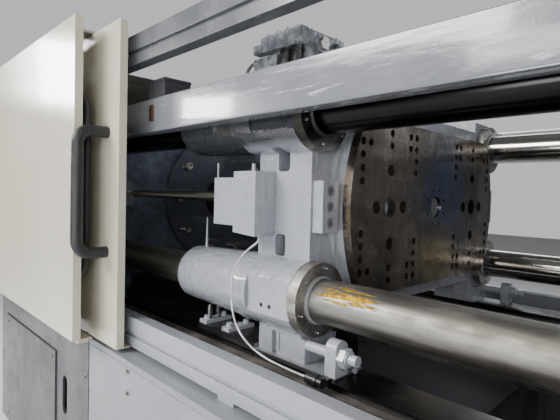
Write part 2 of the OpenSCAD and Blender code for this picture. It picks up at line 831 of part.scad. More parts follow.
// Stepped sheet cover over each traverse rod's anchor
anchor_y1 = rod_y + 40;
anchor_x1 = casting_x0 + 66;
anchor_xm = anchor_x1 - 90;
anchor_x0 = anchor_x1 - 178;
anchor_wall = 3;

module anchor_outline(w) {
    polygon([
        [anchor_x0 + w, axis_z - 60 + w], [anchor_xm + w, axis_z - 60 + w],
        [anchor_xm + w, axis_z - 78 + w], [anchor_x1 - w, axis_z - 84 + w],
        [anchor_x1 - w, axis_z + 89 - w], [anchor_xm + w, axis_z + 89 - w],
        [anchor_xm + w, axis_z + 72 - w], [anchor_x0 + w, axis_z + 72 - w]
    ]);
}

module rod_anchor_cover() {
    difference() {
        translate([0, -casting_side, 0]) rotate([90, 0, 0])
            linear_extrude(height = anchor_y1 - casting_side) anchor_outline(0);
        translate([0, -casting_side + 1, 0]) rotate([90, 0, 0])
            linear_extrude(height = anchor_y1 - casting_side + 1 - anchor_wall) anchor_outline(anchor_wall);
        bar_x(anchor_x0 - 1, anchor_x0 + anchor_wall + 1, -rod_y, rod_z, rod_d + 6);
    }
}

// The cover with the two small pins that stand on its steps
pin_d = 5;

module rod_anchor_covers() {
    color(paint_grey) for (s = [0, 1]) mirror([0, s, 0]) union() {
        rod_anchor_cover();
        translate([anchor_x0 + 9, -anchor_y1 + 6, axis_z + 71]) cylinder(h = 43, d = pin_d);
        translate([anchor_xm + 74, -anchor_y1 + 7, axis_z + 88]) cylinder(h = 20, d = 2 * pin_d);
    }
}

// Bolted stop blocks on the casting's front face, one at each side of the mould plate
stop_y1 = step_d / 2 + 1;
stop_y0 = stop_y1 + 62;
stop_t = 34;
stop_h = 132;
stop_screw_pitch = 41;
stop_screw_d = 16;
stop_y = (stop_y0 + stop_y1) / 2;
stop_sink_x = casting_x1 + stop_t - stop_screw_d;

module stop_block() {
    color(paint_grey) for (s = [0, 1]) mirror([0, s, 0]) difference() {
        block([casting_x1, -stop_y0, axis_z - stop_h / 2],
            [casting_x1 + stop_t, -stop_y1, axis_z + stop_h / 2]);
        for (k = [-1 : 1]) {
            bar_x(stop_sink_x, casting_x1 + stop_t + 1, -stop_y, axis_z + k * stop_screw_pitch,
                stop_screw_d * 1.5 + 2);
        }
    }
}

module block_screws() {
    color(steel) for (s = [-1, 1], k = [-1 : 1]) {
        socket_screw_x(stop_sink_x, s * stop_y, axis_z + k * stop_screw_pitch, stop_screw_d);
    }
}

// Adjustable shoes under the platen's feet, with an upright lug for the set bolt and a wiper block
shoe_w = 110;
shoe_y0 = way_pitch / 2 - strip_w / 2;
shoe_y1 = shoe_y0 + shoe_w;
wiper_len = 270;
wiper_gap = 6;
wiper_x1 = foot_x0 - wiper_gap;
wiper_x0 = wiper_x1 - wiper_len;
wiper_h = 16;
lug_x0 = casting_x1 + 88;
lug_t = 32;
lug_x1 = lug_x0 + lug_t;
lug_r = 24;
lug_y = shoe_y1 - lug_r;
lug_z = strip_z + 52;
lug_top = 38;
bolt_d = 26;
nut_flats = 42;
nut_t = 20;
end_bolt_y = shoe_y0 + 38;
end_bolt_h = 7;
end_bolt_flats = 12;
clamp_w = 36;
clamp_h = 12;
clamp_places = [wiper_x0 + 2, wiper_x0 + 115];
clamp_screw_d = 12;

module slide_shoe() {
    difference() {
        union() {
            block([wiper_x0, -shoe_y1, strip_z + seat], [lug_x1, -shoe_y0, strip_z + shoe_t]);
            block([wiper_x0, -shoe_y1, strip_z + shoe_t - 1], [wiper_x1, -shoe_y0, strip_z + wiper_h]);
            for (x = clamp_places) {
                block([x, -shoe_y1 + 4, strip_z + wiper_h - 1],
                    [x + clamp_w, -shoe_y0 - 6, strip_z + wiper_h + clamp_h]);
            }
            block([lug_x0, -lug_y - lug_r, strip_z + shoe_t - 1],
                [lug_x1, -lug_y + lug_r, lug_z + lug_top - lug_r]);
            bar_x(lug_x0, lug_x1, -lug_y, lug_z + lug_top - lug_r, 2 * lug_r);
        }
        bar_x(lug_x0 - 1, lug_x1 + 1, -lug_y, lug_z, bolt_d + 2 * fit);
    }
}

module slide_shoes() {
    color(dark_grey) for (s = [0, 1]) mirror([0, s, 0]) slide_shoe();
}

// A socket head screw that stands on a face and points up
module socket_screw_z(x, y, z, d) {
    translate([x, y, z]) rotate([0, -90, 0]) socket_screw_x(0, 0, 0, d);
}

module shoe_bolt_pair() {
    for (x = clamp_places, y = [shoe_y0 + 24, shoe_y1 - 20]) {
        socket_screw_z(x + clamp_w / 2, -y, strip_z + wiper_h + clamp_h, clamp_screw_d);
    }
    union() {
        bar_x(casting_x1 + foot_nose, lug_x1 + 2 * nut_t + 6, -lug_y, lug_z, bolt_d);
        hex_x(lug_x1, lug_x1 + nut_t, -lug_y, lug_z, nut_flats);
        bar_x(lug_x1 + nut_t, lug_x1 + nut_t + 4, -lug_y, lug_z, nut_flats - 4);
    }
    hex_x(lug_x1, lug_x1 + end_bolt_h, -end_bolt_y, strip_z + shoe_t / 2 + 5, end_bolt_flats);
}

module shoe_bolts() {
    color(steel) for (s = [0, 1]) mirror([0, s, 0]) shoe_bolt_pair();
}

ram_x0 = cyl_platen_x0 - 228;
piston_t = 50;

module main_ram() {
    color(steel) union() {
        bar_x(ram_x0 + piston_t - 1, casting_x0 + ram_seat, 0, axis_z, ram_d);
        bar_x(ram_x0, ram_x0 + piston_t, 0, axis_z, piston_d - 2 * fit);
    }
}

rod_tail = traverse_x0 + 300;

module traverse_rods() {
    color(steel) for (s = [-1, 1]) {
        union() {
            bar_x(rod_tail, casting_x0 + lug_end, s * rod_y, rod_z, rod_d);
            bar_x(rod_tail - 30, rod_tail, s * rod_y, rod_z, traverse_d - 16 - 2 * fit);
        }
    }
}

// Valve manifold on top of the front upper boss: a body, a stack of slices beside it, coils and a base
manifold_x0 = casting_x0 + 14;
manifold_x1 = casting_x1 - 6;
manifold_y0 = tie_y + 62;
manifold_z = axis_z + tie_z + 105;
manifold_h = 102;
body_y0 = manifold_y0 - 26;
body_w = 145;
stack_t = 40;
base_len = 88;
base_h = 50;
slice_len = 36;
slice_n = 4;
plug_d = 45;
plug_h = 8;

module valve_manifold() {
    top = manifold_z + manifold_h;
    color(dark_grey) union() {
        block([manifold_x0 + 28, -body_y0, manifold_z], [manifold_x1, -body_y0 + body_w, top]);
        block([manifold_x0 + 28, -manifold_y0, top - stack_t], [manifold_x1 - 2, -body_y0 + 1, top - 2]);
        block([manifold_x0, -manifold_y0, top - stack_t], [manifold_x0 + 29, -body_y0 + 1, top - 16]);
        block([manifold_x0, -manifold_y0 + 3, manifold_z],
            [manifold_x0 + base_len, -body_y0 + 1, manifold_z + base_h]);
        for (i = [0 : slice_n - 1]) {
            block([manifold_x0 + 30 + i * slice_len, -manifold_y0 + 8, top - 3],
                [manifold_x0 + 22 + (i + 1) * slice_len, -body_y0 + 12, top + 6]);
        }
        for (i = [0, 1]) {
            translate([manifold_x0 + base_len + 22 + 38 * i, -manifold_y0 + 18, manifold_z + 8])
                cylinder(h = top - stack_t - manifold_z - 7, d = 34);
        }
        bar_x(manifold_x1 - 1, manifold_x1 + plug_h, -tie_y + 14, manifold_z + 73, plug_d);
    }
}

// A round cord swept along points, with one ring of sides at each point
function unit(v) = v / norm(v);
function tangent(p, i) = unit(p[min(i + 1, len(p) - 1)] - p[max(i - 1, 0)]);
function side_of(t, ref) = unit(cross(t, ref));
function ring(p, i, r, n, ref) = let (t = tangent(p, i), a = side_of(t, ref), b = cross(t, a))
    [for (k = [0 : n - 1]) p[i] + r * (a * cos(360 * k / n) + b * sin(360 * k / n))];
function spline(p, i, u) = let (a = p[max(i - 1, 0)], b = p[i], c = p[i + 1], d = p[min(i + 2, len(p) - 1)])
    0.5 * ((2 * b) + (c - a) * u + (2 * a - 5 * b + 4 * c - d) * u * u
        + (3 * b - a - 3 * c + d) * u * u * u);
function smooth_path(p, m) = concat([for (i = [0 : len(p) - 2], j = [0 : m - 1]) spline(p, i, j / m)],
    [p[len(p) - 1]]);

// The same points with their first and last steps laid along X, so that the ends meet faces squarely
function square_ends(p) = let (n = len(p) - 1)
    [for (i = [0 : n])
        i == 1 ? [p[1][0], p[0][1], p[0][2]] : i == n - 1 ? [p[i][0], p[n][1], p[n][2]] : p[i]];

module cord(p, r, n, ref) {
    pts = [for (i = [0 : len(p) - 1]) each ring(p, i, r, n, ref)];
    last = (len(p) - 1) * n;
    faces = concat([[for (k = [n - 1 : -1 : 0]) k]], [[for (k = [0 : n - 1]) last + k]],
        [for (i = [0 : len(p) - 2], k = [0 : n - 1])
            [i * n + k, i * n + (k + 1) % n, (i + 1) * n + (k + 1) % n, (i + 1) * n + k]]);
    polyhedron(points = pts, faces = faces, convexity = 10);
}

hose_d = 9;
hose_route = [
    [-1290, -594, 1630], [-1298, -594, 1631], [-1306, -594, 1629], [-1314, -594, 1624],
    [-1321, -595, 1615], [-1326, -597, 1603], [-1329, -601, 1590], [-1328, -608, 1577],
    [-1323, -615, 1567], [-1314, -619, 1561], [-1304, -620, 1560]
];

module manifold_hose() {
    color(black) cord(square_ends(smooth_path(hose_route, 3)), hose_d / 2, 10, [0, 1, 0.2]);
}

cable_d = 5;
cable_route = [
    [-1247, -606, 1166], [-1249, -608, 1150], [-1262, -632, 1128], [-1278, -648, 1100],
    [-1291, -655, 1066], [-1295, -656, 1020], [-1292, -656, 980], [-1282, -655, 945],
    [-1262, -653, 915], [-1235, -650, 893], [-1200, -647, 877], [-1160, -645, 868],
    [-1120, -643, 864], [-1080, -642, 862], [-1046, -642, 862], [-1030, -642, 862]
];

module sensor_cable() {
    color([0.85, 0.85, 0.82]) cord(smooth_path(cable_route, 4), cable_d / 2, 8, [0.1, 1, 0.05]);
}

conduit_x0 = -1030;
conduit_x1 = -982;
conduit_y = -642;
conduit_z = 862;

module cable_conduit() {
    color(black) union() {
        bar_x(conduit_x0, conduit_x1, conduit_y, conduit_z, 24);
        bar_x(conduit_x0 + 10, conduit_x0 + 34, conduit_y, conduit_z, 30);
        block([conduit_x0 + 14, conduit_y + 6, conduit_z - 10],
            [conduit_x0 + 30, -shoe_y1, conduit_z - 7.5]);
    }
}

ejector_x0 = casting_x0 + 62;

module ejector_cylinder() {
    color(dark_grey) difference() {
        union() {
            bar_x(ejector_x0, casting_x1 - 60, 0, axis_z, 150);
            bar_x(casting_x1 - 84, casting_x1 - 60, 0, axis_z, 186);
        }
        bar_x(ejector_x0 + 14, casting_x1 - 59, 0, axis_z, 40 + 2 * fit);
    }
}

module ejector_rod() {
    color(steel) union() {
        bar_x(ejector_x0 + 15, mould_face_x - 40, 0, axis_z, 40);
        bar_x(mould_face_x - 40, mould_face_x - 6, 0, axis_z, 60);
    }
}

// Gates

// Folded sheet tray standing in the XZ plane, with a deeper lip along its bottom
module gate_tray(x0, x1, y, z0, z1, lip) {
    union() {
        difference() {
            block([x0, -y, z0], [x1, -y + gate_depth, z1]);
            block([x0 + sheet_t, -y + sheet_t, z0 + sheet_t],
                [x1 - sheet_t, -y + gate_depth + 1, z1 - sheet_t]);
        }
        block([x0, -y, z0], [x1, -y + lip, z0 + sheet_t]);
    }
}

// Slide pad on the back of the inner gate that runs in a rail's groove
pad_gap = 0.3;

module groove_pad(x, z) {
    block([x, -gate_y + sheet_t, z + groove_dz - 20],
        [x + 80, -rail_front - 0.5, z + groove_dz + groove_h + 20]);
    block([x, -rail_front - 1, z + groove_dz + pad_gap],
        [x + 80, -rail_front + groove_depth - 1, z + groove_dz + groove_h - pad_gap]);
}

module inner_gate_body(x0) {
    union() {
        gate_tray(x0, x0 + gate_w, gate_y, gate_z0, gate_z1, gate_y - rail_front - 5);
        for (x = [x0 + 60, x0 + gate_w - 140], z = [upper_rail_z, lower_rail_z]) groove_pad(x, z);
    }
}

module front_gate() {
    color(cream) inner_gate_body(gate_edge_x - gate_w);
}

module rear_gate() {
    color(cream) mirror([0, 1, 0]) inner_gate_body(gate_edge_x - gate_w);
}

// Bow handle with bent corners, its legs on a face and its grip standing off along -Y
bend_r = 40;

module bow(d, h, off) {
    union() {
        for (s = [0, 1]) mirror([0, 0, s]) {
            translate([0, -off + bend_r, -h / 2]) rotate([-90, 0, 0]) cylinder(h = off - bend_r, d = d);
            translate([0, -off + bend_r, -h / 2 + bend_r]) rotate([0, -90, 0]) rotate([0, 0, 180])
                rotate_extrude(angle = 90) translate([bend_r, 0]) circle(d = d);
        }
        translate([0, -off, -h / 2 + bend_r]) cylinder(h = h - 2 * bend_r, d = d);
    }
}

handle_x = gate_edge_x - 80;
handle_z = axis_z + 21;

module front_gate_handle() {
    color(black) translate([handle_x, -gate_y, handle_z]) bow(handle_d, handle_len, handle_off);
}

module rear_gate_handle() {
    color(black) mirror([0, 1, 0]) translate([handle_x, -gate_y, handle_z])
        bow(handle_d, handle_len, handle_off);
}

arm_drop = 13;
arm_z = outer_z1 - arm_drop;

module outer_gate() {
    color(cream) union() {
        gate_tray(outer_edge_x - gate_w, outer_edge_x, outer_gate_y, outer_z0, outer_z1, 62);
        for (x = [outer_edge_x - gate_w + 100, outer_edge_x - 180]) {
            block([x, -outer_gate_y + sheet_t, arm_z], [x + 80, -guard_y - 8, arm_z + 8]);
            block([x, -rail_front + 4, upper_rail_z + rail_h + pad_gap], [x + 80, -guard_y - 8, arm_z + 1]);
            block([x, -outer_gate_y + 55, ledge_z - 17], [x + 80, -outer_gate_y + 61, outer_z0 + 1]);
            block([x, -outer_gate_y + 55, ledge_z - 17], [x + 80, -half_w - 0.5, ledge_z - 5]);
        }
    }
}

inner_handle_len = 580;
inner_handle_off = 50;

module outer_gate_handle() {
    color(black) translate([outer_edge_x - 38, -outer_gate_y + sheet_t, axis_z + 40]) rotate([0, 0, 180])
        bow(24, inner_handle_len, inner_handle_off);
}

// Operator's console and control cabinet

console_x1 = 300;
console_z1 = 1800;

module operator_panel() {
    color(cream) difference() {
        block([console_x0, -half_w, ledge_z], [console_x1, -guard_y, console_z1]);
        block([console_x0 + 60, -half_w - 1, 1400], [console_x1 - 60, -half_w + 6, 1640]);
        translate([console_x1 - 90, -half_w - 1, 1290]) rotate([-90, 0, 0])
            cylinder(h = 30, d = 24 + 2 * fit);
        for (x = [0 : 3]) translate([console_x0 + 80 + 50 * x, -half_w - 1, 1290]) rotate([-90, 0, 0])
            cylinder(h = 5, d = 24);
    }
}

module emergency_stop() {
    color([0.75, 0.08, 0.06]) translate([console_x1 - 90, -half_w, 1290]) rotate([90, 0, 0]) {
        translate([0, 0, -20]) cylinder(h = 30, d = 24);
        translate([0, 0, 10]) cylinder(h = 16, d = 40);
    }
}

cabinet_x1 = bed_x1 - 610;
cabinet_x0 = cabinet_x1 - 920;
cabinet_y0 = 470;
cabinet_z1 = 1560;
door_t = 3;
hinge_d = 10;

module control_cabinet() {
    color(cream) difference() {
        block([cabinet_x0, -half_w + door_t + seat, ledge_z], [cabinet_x1, -cabinet_y0, cabinet_z1]);
        block([cabinet_x0 + sheet_t, -half_w, ledge_z + 30],
            [cabinet_x1 - sheet_t, -cabinet_y0 - sheet_t, cabinet_z1 - 30]);
    }
}

module cabinet_door() {
    color(cream) union() {
        block([cabinet_x0 + 4, -half_w, ledge_z + 4], [cabinet_x1 - 4, -half_w + door_t, cabinet_z1 - 4]);
        for (x = [cabinet_x0 + 30, cabinet_x1 - 60]) {
            block([x, -half_w + door_t - 1, ledge_z + 50], [x + 20, -half_w + 26, cabinet_z1 - 50]);
        }
        translate([cabinet_x1 - 4, -half_w - 2, ledge_z + 80])
            cylinder(h = cabinet_z1 - ledge_z - 160, d = hinge_d);
    }
}

motor_x0 = tray_x0 + 140;
motor_d = 360;
motor_len = 540;
lantern_len = 80;
pump_len = 200;
motor_z = tray_z + motor_d / 2 + 10;

module pump_motor() {
    lantern_x0 = motor_x0 + motor_len;
    pump_x0 = lantern_x0 + lantern_len;
    color(paint_grey) union() {
        bar_x(motor_x0, lantern_x0, 0, motor_z, motor_d);
        bar_x(lantern_x0 - 1, pump_x0 + 1, 0, motor_z, motor_d * 0.55);
        bar_x(pump_x0, pump_x0 + pump_len, 0, motor_z, motor_d * 0.67);
        for (x = [motor_x0 + 80, lantern_x0 - 140]) block([x, -170, tray_z], [x + 60, 170, motor_z - 70]);
        block([motor_x0 + 200, -90, motor_z + 150], [motor_x0 + 360, 90, motor_z + 230]);
    }
}

// Injection unit

inj_way_y = 260;
inj_way_w = 60;
inj_way_h = 60;
inj_way_z = ledge_z + 183;
inj_way_x0 = clamp_bed_x1 + 100;
inj_way_x1 = bed_x1 - 110;
pad_len = 60;
pad_n = 4;
pad_pitch = (inj_way_x1 - inj_way_x0 - 2 * pad_len / 3 - pad_len) / (pad_n - 1);

// The ways of the injection unit, each on its row of pads
module injection_ways() {
    way_under = inj_way_z - inj_way_h;
    color(steel) for (s = [-1, 1]) {
        block([inj_way_x0, s * inj_way_y - inj_way_w / 2, way_under],
            [inj_way_x1, s * inj_way_y + inj_way_w / 2, inj_way_z]);
        for (i = [0 : pad_n - 1]) {
            x = inj_way_x0 + pad_len / 3 + i * pad_pitch;
            block([x, s * inj_way_y - 50, ledge_z], [x + pad_len, s * inj_way_y + 50, way_under + 1]);
        }
    }
}

inj_plate_x0 = fixed_back_x + 980;
inj_plate_x1 = inj_plate_x0 + 160;
inj_half_w = 340;
inj_plate_z1 = axis_z + 180;
carriage_x1 = bed_x1 - 530;
carriage_beam_z = inj_way_z + 70;
throat_x = inj_plate_x0 + 80;
inj_cyl_y = 240;

module injection_carriage() {
    color(paint_grey) difference() {
        union() {
            block([inj_plate_x0, -inj_half_w, carriage_beam_z - 1],
                [inj_plate_x1, inj_half_w, inj_plate_z1]);
            for (s = [-1, 1]) {
                block([inj_plate_x0, s * inj_way_y - 60, inj_way_z + seat],
                    [carriage_x1, s * inj_way_y + 60, carriage_beam_z]);
            }
            block([carriage_x1 - 40, -inj_way_y - 60, inj_way_z + seat],
                [carriage_x1, inj_way_y + 60, carriage_beam_z + 60]);
        }
        bar_x(inj_plate_x0 - 1, inj_plate_x1 + 1, 0, axis_z, barrel_d + 2 * fit);
        translate([throat_x, 0, axis_z]) cylinder(h = 200, d = 60);
    }
}

barrel_x0 = inj_plate_x1 - barrel_len + 20;
nozzle_tip_x = barrel_x0;

module plasticising_barrel() {
    color(steel) difference() {
        union() {
            bar_x(barrel_x0 + 170, inj_plate_x1 + 20, 0, axis_z, barrel_d);
            cone_x(barrel_x0 + 110, barrel_x0 + 170, 0, axis_z, 80, barrel_d);
            bar_x(barrel_x0 + 30, barrel_x0 + 110, 0, axis_z, 56);
            cone_x(barrel_x0, barrel_x0 + 30, 0, axis_z, 20, 56);
        }
        bar_x(barrel_x0 + 180, inj_plate_x1 + 21, 0, axis_z, screw_d + 2 * fit);
        bar_x(barrel_x0 - 1, barrel_x0 + 181, 0, axis_z, 8);
        translate([throat_x, 0, axis_z]) cylinder(h = 100, d = 60);
    }
}

band_x = [for (i = [0 : 3]) barrel_x0 + 260 + 170 * i];

module heater_bands() {
    color(steel) for (x = band_x) {
        difference() {
            union() {
                bar_x(x, x + 130, 0, axis_z, barrel_d + 26);
                block([x + 45, -20, axis_z + barrel_d / 2 + 10], [x + 85, 20, axis_z + barrel_d / 2 + 44]);
            }
            bar_x(x - 1, x + 131, 0, axis_z, barrel_d + 2 * fit);
        }
    }
}

module injection_cylinders() {
    color(dark_grey) for (s = [-1, 1]) {
        difference() {
            bar_x(inj_plate_x1, inj_plate_x1 + 300, s * inj_cyl_y, axis_z, 120);
            bar_x(inj_plate_x1 + 20, inj_plate_x1 + 301, s * inj_cyl_y, axis_z, 60 + 2 * fit);
        }
    }
}

throat_h = 90;
hopper_box_h = 120;
throat_z = inj_plate_z1;

// Square funnel, wide at the top
module funnel(w0, w1, h) {
    hull() {
        translate([-w0 / 2, -w0 / 2, 0]) cube([w0, w0, 1]);
        translate([-w1 / 2, -w1 / 2, h - 1]) cube([w1, w1, 1]);
    }
}

module hopper() {
    cone_z = throat_h - 1;
    box_z = cone_z + hopper_h - 1;
    color(cream) translate([throat_x, 0, throat_z]) difference() {
        union() {
            translate([-70, -70, 0]) cube([140, 140, throat_h]);
            translate([0, 0, cone_z]) funnel(110, hopper_w, hopper_h);
            translate([-hopper_w / 2, -hopper_w / 2, box_z]) cube([hopper_w, hopper_w, hopper_box_h]);
        }
        translate([0, 0, -1]) cylinder(h = throat_h + 2, d = 60);
        translate([0, 0, throat_h]) funnel(104, hopper_w - 2 * sheet_t, hopper_h);
        translate([-hopper_w / 2 + sheet_t, -hopper_w / 2 + sheet_t, box_z + 1])
            cube([hopper_w - 2 * sheet_t, hopper_w - 2 * sheet_t, hopper_box_h]);
    }
}

hopper_top = throat_z + throat_h - 2 + hopper_h + hopper_box_h;

module hopper_lid() {
    color(cream) union() {
        block([throat_x - hopper_w / 2 - 4, -hopper_w / 2 - 4, hopper_top + seat],
            [throat_x + hopper_w / 2 + 4, hopper_w / 2 + 4, hopper_top + 4]);
        block([throat_x - 60, -hopper_w / 2 - 30, hopper_top + 4],
            [throat_x + 60, -hopper_w / 2 + 10, hopper_top + 7]);
        bar_x(throat_x - 60, throat_x + 60, hopper_w / 2 + 7, hopper_top + hinge_d / 2, hinge_d);
    }
}

drive_x0 = inj_plate_x1 + 380;
drive_x1 = drive_x0 + 80;
gear_len = 110;
drive_motor_len = 220;
drive_motor_x1 = drive_x1 + gear_len + drive_motor_len;

module screw_drive() {
    color(paint_grey) union() {
        difference() {
            union() {
                block([drive_x0, -inj_half_w, carriage_beam_z + seat],
                    [drive_x1, inj_half_w, axis_z + 130]);
                bar_x(drive_x1 - 1, drive_x1 + gear_len, 0, axis_z, 240);
                bar_x(drive_x1 + gear_len - 1, drive_motor_x1, 0, axis_z, 300);
                block([drive_x1 + gear_len + 50, -90, axis_z + 120],
                    [drive_motor_x1 - 50, 90, axis_z + 190]);
            }
            bar_x(drive_x0 - 1, drive_x0 + 70, 0, axis_z, 50 + 2 * fit);
        }
        for (s = [-1, 1]) bar_x(inj_plate_x1 + 22, drive_x0 + 1, s * inj_cyl_y, axis_z, 60);
    }
}

screw_x0 = barrel_x0 + 185;
flight_depth = 8;
flight_len = drive_x0 - screw_x0 - 490;
screw_gap = 0.4;

module flight_section() {
    union() {
        circle(d = screw_d - 2 * flight_depth, $fn = 14);
        translate([0, -4]) square([screw_d / 2 - screw_gap, 8]);
    }
}

// Screw with a tip, a check ring land, a helical flight and a plain shank
module injection_screw() {
    color(steel) union() {
        cone_x(screw_x0, screw_x0 + 45, 0, axis_z, 8, screw_d - 16);
        bar_x(screw_x0 + 45, screw_x0 + 70, 0, axis_z, screw_d);
        translate([screw_x0 + 69, 0, axis_z]) rotate([0, 90, 0])
            linear_extrude(height = flight_len, twist = -360 * flight_len / flight_pitch,
                slices = 120, $fn = 16) flight_section();
        bar_x(screw_x0 + 68 + flight_len, drive_x0, 0, axis_z, screw_d - 2 * flight_depth);
        bar_x(drive_x0 - 1, drive_x0 + 69, 0, axis_z, 50);
    }
}

bed_frame();
front_bed_covers();
rear_bed_covers();
access_panel();
levelling_feet();
slide_ways();
upper_beam_front();
upper_beam_rear();
tie_bar_upper_front();
tie_bar_lower_front();
tie_bars_rear();
tie_bar_nuts();
stationary_platen();
cylinder_platen();
clamp_cylinder();
gland_flange();
gland_bolts();
traverse_cylinders();
clamp_guard();
gate_rail_upper_front();
gate_rail_lower_front();
gate_rails_rear();
terminal_box();
injection_ways();
control_cabinet();
operator_panel();
pump_motor();
cabinet_door();
emergency_stop();
moving_platen();
mould_plate();
platen_sleeves();
wiper_rings();
rod_anchor_covers();
stop_block();
block_screws();
slide_shoes();
shoe_bolts();
main_ram();
traverse_rods();
valve_manifold();
manifold_hose();
ejector_cylinder();
sensor_cable();
cable_conduit();
ejector_rod();
front_gate();
front_gate_handle();
outer_gate();
outer_gate_handle();
rear_gate();
rear_gate_handle();
injection_carriage();
plasticising_barrel();
heater_bands();
injection_cylinders();
hopper();
hopper_lid();
screw_drive();
injection_screw();
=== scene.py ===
"""Looks of the injection moulding machine: finishes, rounded edges and small fittings."""
import json
import math

import bmesh
import bpy
from bpy.props import FloatProperty, FloatVectorProperty, PointerProperty
from mathutils import Matrix, Vector


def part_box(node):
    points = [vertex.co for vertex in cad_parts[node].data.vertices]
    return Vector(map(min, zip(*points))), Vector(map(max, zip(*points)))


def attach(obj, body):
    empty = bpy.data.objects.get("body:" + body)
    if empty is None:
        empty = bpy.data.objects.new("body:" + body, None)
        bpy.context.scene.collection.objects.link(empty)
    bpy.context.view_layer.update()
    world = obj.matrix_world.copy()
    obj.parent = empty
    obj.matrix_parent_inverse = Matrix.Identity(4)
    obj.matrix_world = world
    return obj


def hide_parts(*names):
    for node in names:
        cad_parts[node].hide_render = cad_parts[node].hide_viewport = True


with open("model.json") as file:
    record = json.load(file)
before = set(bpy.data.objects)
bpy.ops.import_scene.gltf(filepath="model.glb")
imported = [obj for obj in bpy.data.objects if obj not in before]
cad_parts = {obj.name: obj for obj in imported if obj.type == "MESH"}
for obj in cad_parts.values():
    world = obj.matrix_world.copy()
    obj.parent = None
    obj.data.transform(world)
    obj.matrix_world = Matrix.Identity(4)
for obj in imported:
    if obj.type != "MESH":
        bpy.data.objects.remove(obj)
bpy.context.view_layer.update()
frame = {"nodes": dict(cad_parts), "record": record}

bl_info = {
    "name": "Injection Moulding Machine Finish",
    "version": (1, 0, 0),
    "blender": (4, 5, 0),
    "location": "View3D > Sidebar > Moulding Machine",
    "description": "Gives the machine its paint, steel, cords, fittings and stage",
    "category": "Object",
}

MM = 0.001
NODE_BODY = {n: b for b, ns in frame["record"]["behaviour"]["bodies"].items() for n in ns}

# Places that repeat the solids' own values, in millimetres
AXIS_Z = 1250
TIE_Y = 540
TIE_Z = 235
RING_FACE_X = -1081
HALF_W = 801
BED_X0 = -3010
BED_LEN = 6020
FIRST_COVER = 1130
COVER_PITCH = 1230
MANIFOLD_X0 = -1290
MANIFOLD_X1 = -1116
MANIFOLD_TOP = 1692
COVER_JOINTS = 4

# Borders of paint zones, oiled zones and painted shade, in metres: a pair is where a soft border starts and
# ends
BETWEEN_WAYS_Y = (0.635, 0.65)
LOW_WALL_Z = (0.76, 0.85)
BEHIND_GATES_X = (-2.53, -2.5)
BEHIND_GATES_Y = (0.60, 0.655)
COIL_X = -1.202
COIL_Y = -0.57625
COIL_Z = 1.651
SHOE_BLOCK_X = -1.272
SHOE_BLOCK_TOP = 0.8664
COVER_EDGE_X = (BED_X0 + FIRST_COVER) * MM
RING_CORNER_Z = (1.38, 1.42)
RING_CORNER_Y = -0.38
RUSTY_RIM_Y = (0.478, 0.496)

# Middle and half size of round patches, in metres
GREASE_PATCH = ((-0.972, -0.580, 1.050), (0.16, 0.06, 0.045))
BLUE_REFLECTION_PATCH = ((-1.05, 0.06, 1.30), (0.3, 0.24, 0.30))
YELLOW_REFLECTION_PATCH = ((-1.05, 0.02, 1.10), (0.3, 0.20, 0.14))

# Colours of dirt, of worn places, and of painted shade, highlights and reflections, as linear RGB
OIL_AND_SHADE_BLACK = (0.012, 0.014, 0.018)
STEEL_OIL_AND_SHADE_BLACK = (0.03, 0.028, 0.026)
BED_OIL = (0.07, 0.063, 0.056)
INTERIOR_SHADE_BLUE = (0.062, 0.076, 0.108)
STREAK_HIGHLIGHT_PALE = (0.78, 0.79, 0.82)
BLUE_REFLECTION = (0.135, 0.185, 0.32)
YELLOW_REFLECTION = (0.24, 0.19, 0.07)
WIPED_STEEL = (0.42, 0.40, 0.36)
BROWN_RUNS = (0.12, 0.08, 0.04)
RIM_RUST = (0.16, 0.08, 0.015)
THICK_GREASE = (0.60, 0.40, 0.003)


# Settings that a user would change

class FinishSettings(bpy.types.PropertyGroup):
    """Colours of the machine's paints and metals"""
    cream: FloatVectorProperty(name="Gate paint", description="Colour of the gates, guard and cabinet",
                               subtype="COLOR", size=3, min=0, max=1, default=(0.56, 0.525, 0.43))
    casting: FloatVectorProperty(name="Casting paint", description="Colour of the platens, rails and beams",
                                 subtype="COLOR", size=3, min=0, max=1, default=(0.305, 0.318, 0.355))
    bed: FloatVectorProperty(name="Bed paint", description="Colour of the bed and its covers",
                             subtype="COLOR", size=3, min=0, max=1, default=(0.125, 0.13, 0.145))
    steel: FloatVectorProperty(name="Bare steel", description="Colour of ground steel",
                               subtype="COLOR", size=3, min=0, max=1, default=(0.56, 0.54, 0.50))
    oil: FloatVectorProperty(name="Oiled steel", description="Colour of the oily mould plate",
                             subtype="COLOR", size=3, min=0, max=1, default=(0.27, 0.235, 0.20))
    grease: FloatVectorProperty(name="Grease", description="Colour of the grease patches",
                                subtype="COLOR", size=3, min=0, max=1, default=(0.30, 0.155, 0.002))


class EdgeSettings(bpy.types.PropertyGroup):
    """Sizes of rounded edges"""
    cast_edge: FloatProperty(name="Casting edge", description="Rounding of painted castings", unit="LENGTH",
                             default=0.0055, min=0.0005, max=0.008)
    sheet_edge: FloatProperty(name="Sheet edge", description="Rounding of folded sheet", unit="LENGTH",
                              default=0.0025, min=0.0005, max=0.004)
    steel_edge: FloatProperty(name="Steel edge", description="Rounding of machined steel", unit="LENGTH",
                              default=0.001, min=0.0002, max=0.003)


class StageSettings(bpy.types.PropertyGroup):
    """Floor, light and camera"""
    floor_color: FloatVectorProperty(name="Floor", description="Colour of the floor", subtype="COLOR",
                                     size=3, min=0, max=1, default=(0.70, 0.70, 0.70))
    sky: FloatProperty(name="Surroundings", description="Strength of the light from all round", default=0.22,
                       min=0, max=2)
    key_power: FloatProperty(name="Key light", description="Strength of the large light at the front left",
                             unit="POWER", default=400.0, min=0)
    fill_power: FloatProperty(name="Fill light", description="Strength of the lights on the other sides",
                              unit="POWER", default=60.0, min=0)
    lens: FloatProperty(name="Lens", description="Focal length of the camera", subtype="DISTANCE_CAMERA",
                        default=28.69, min=10, max=100)


# Node trees

FINISHES = {}


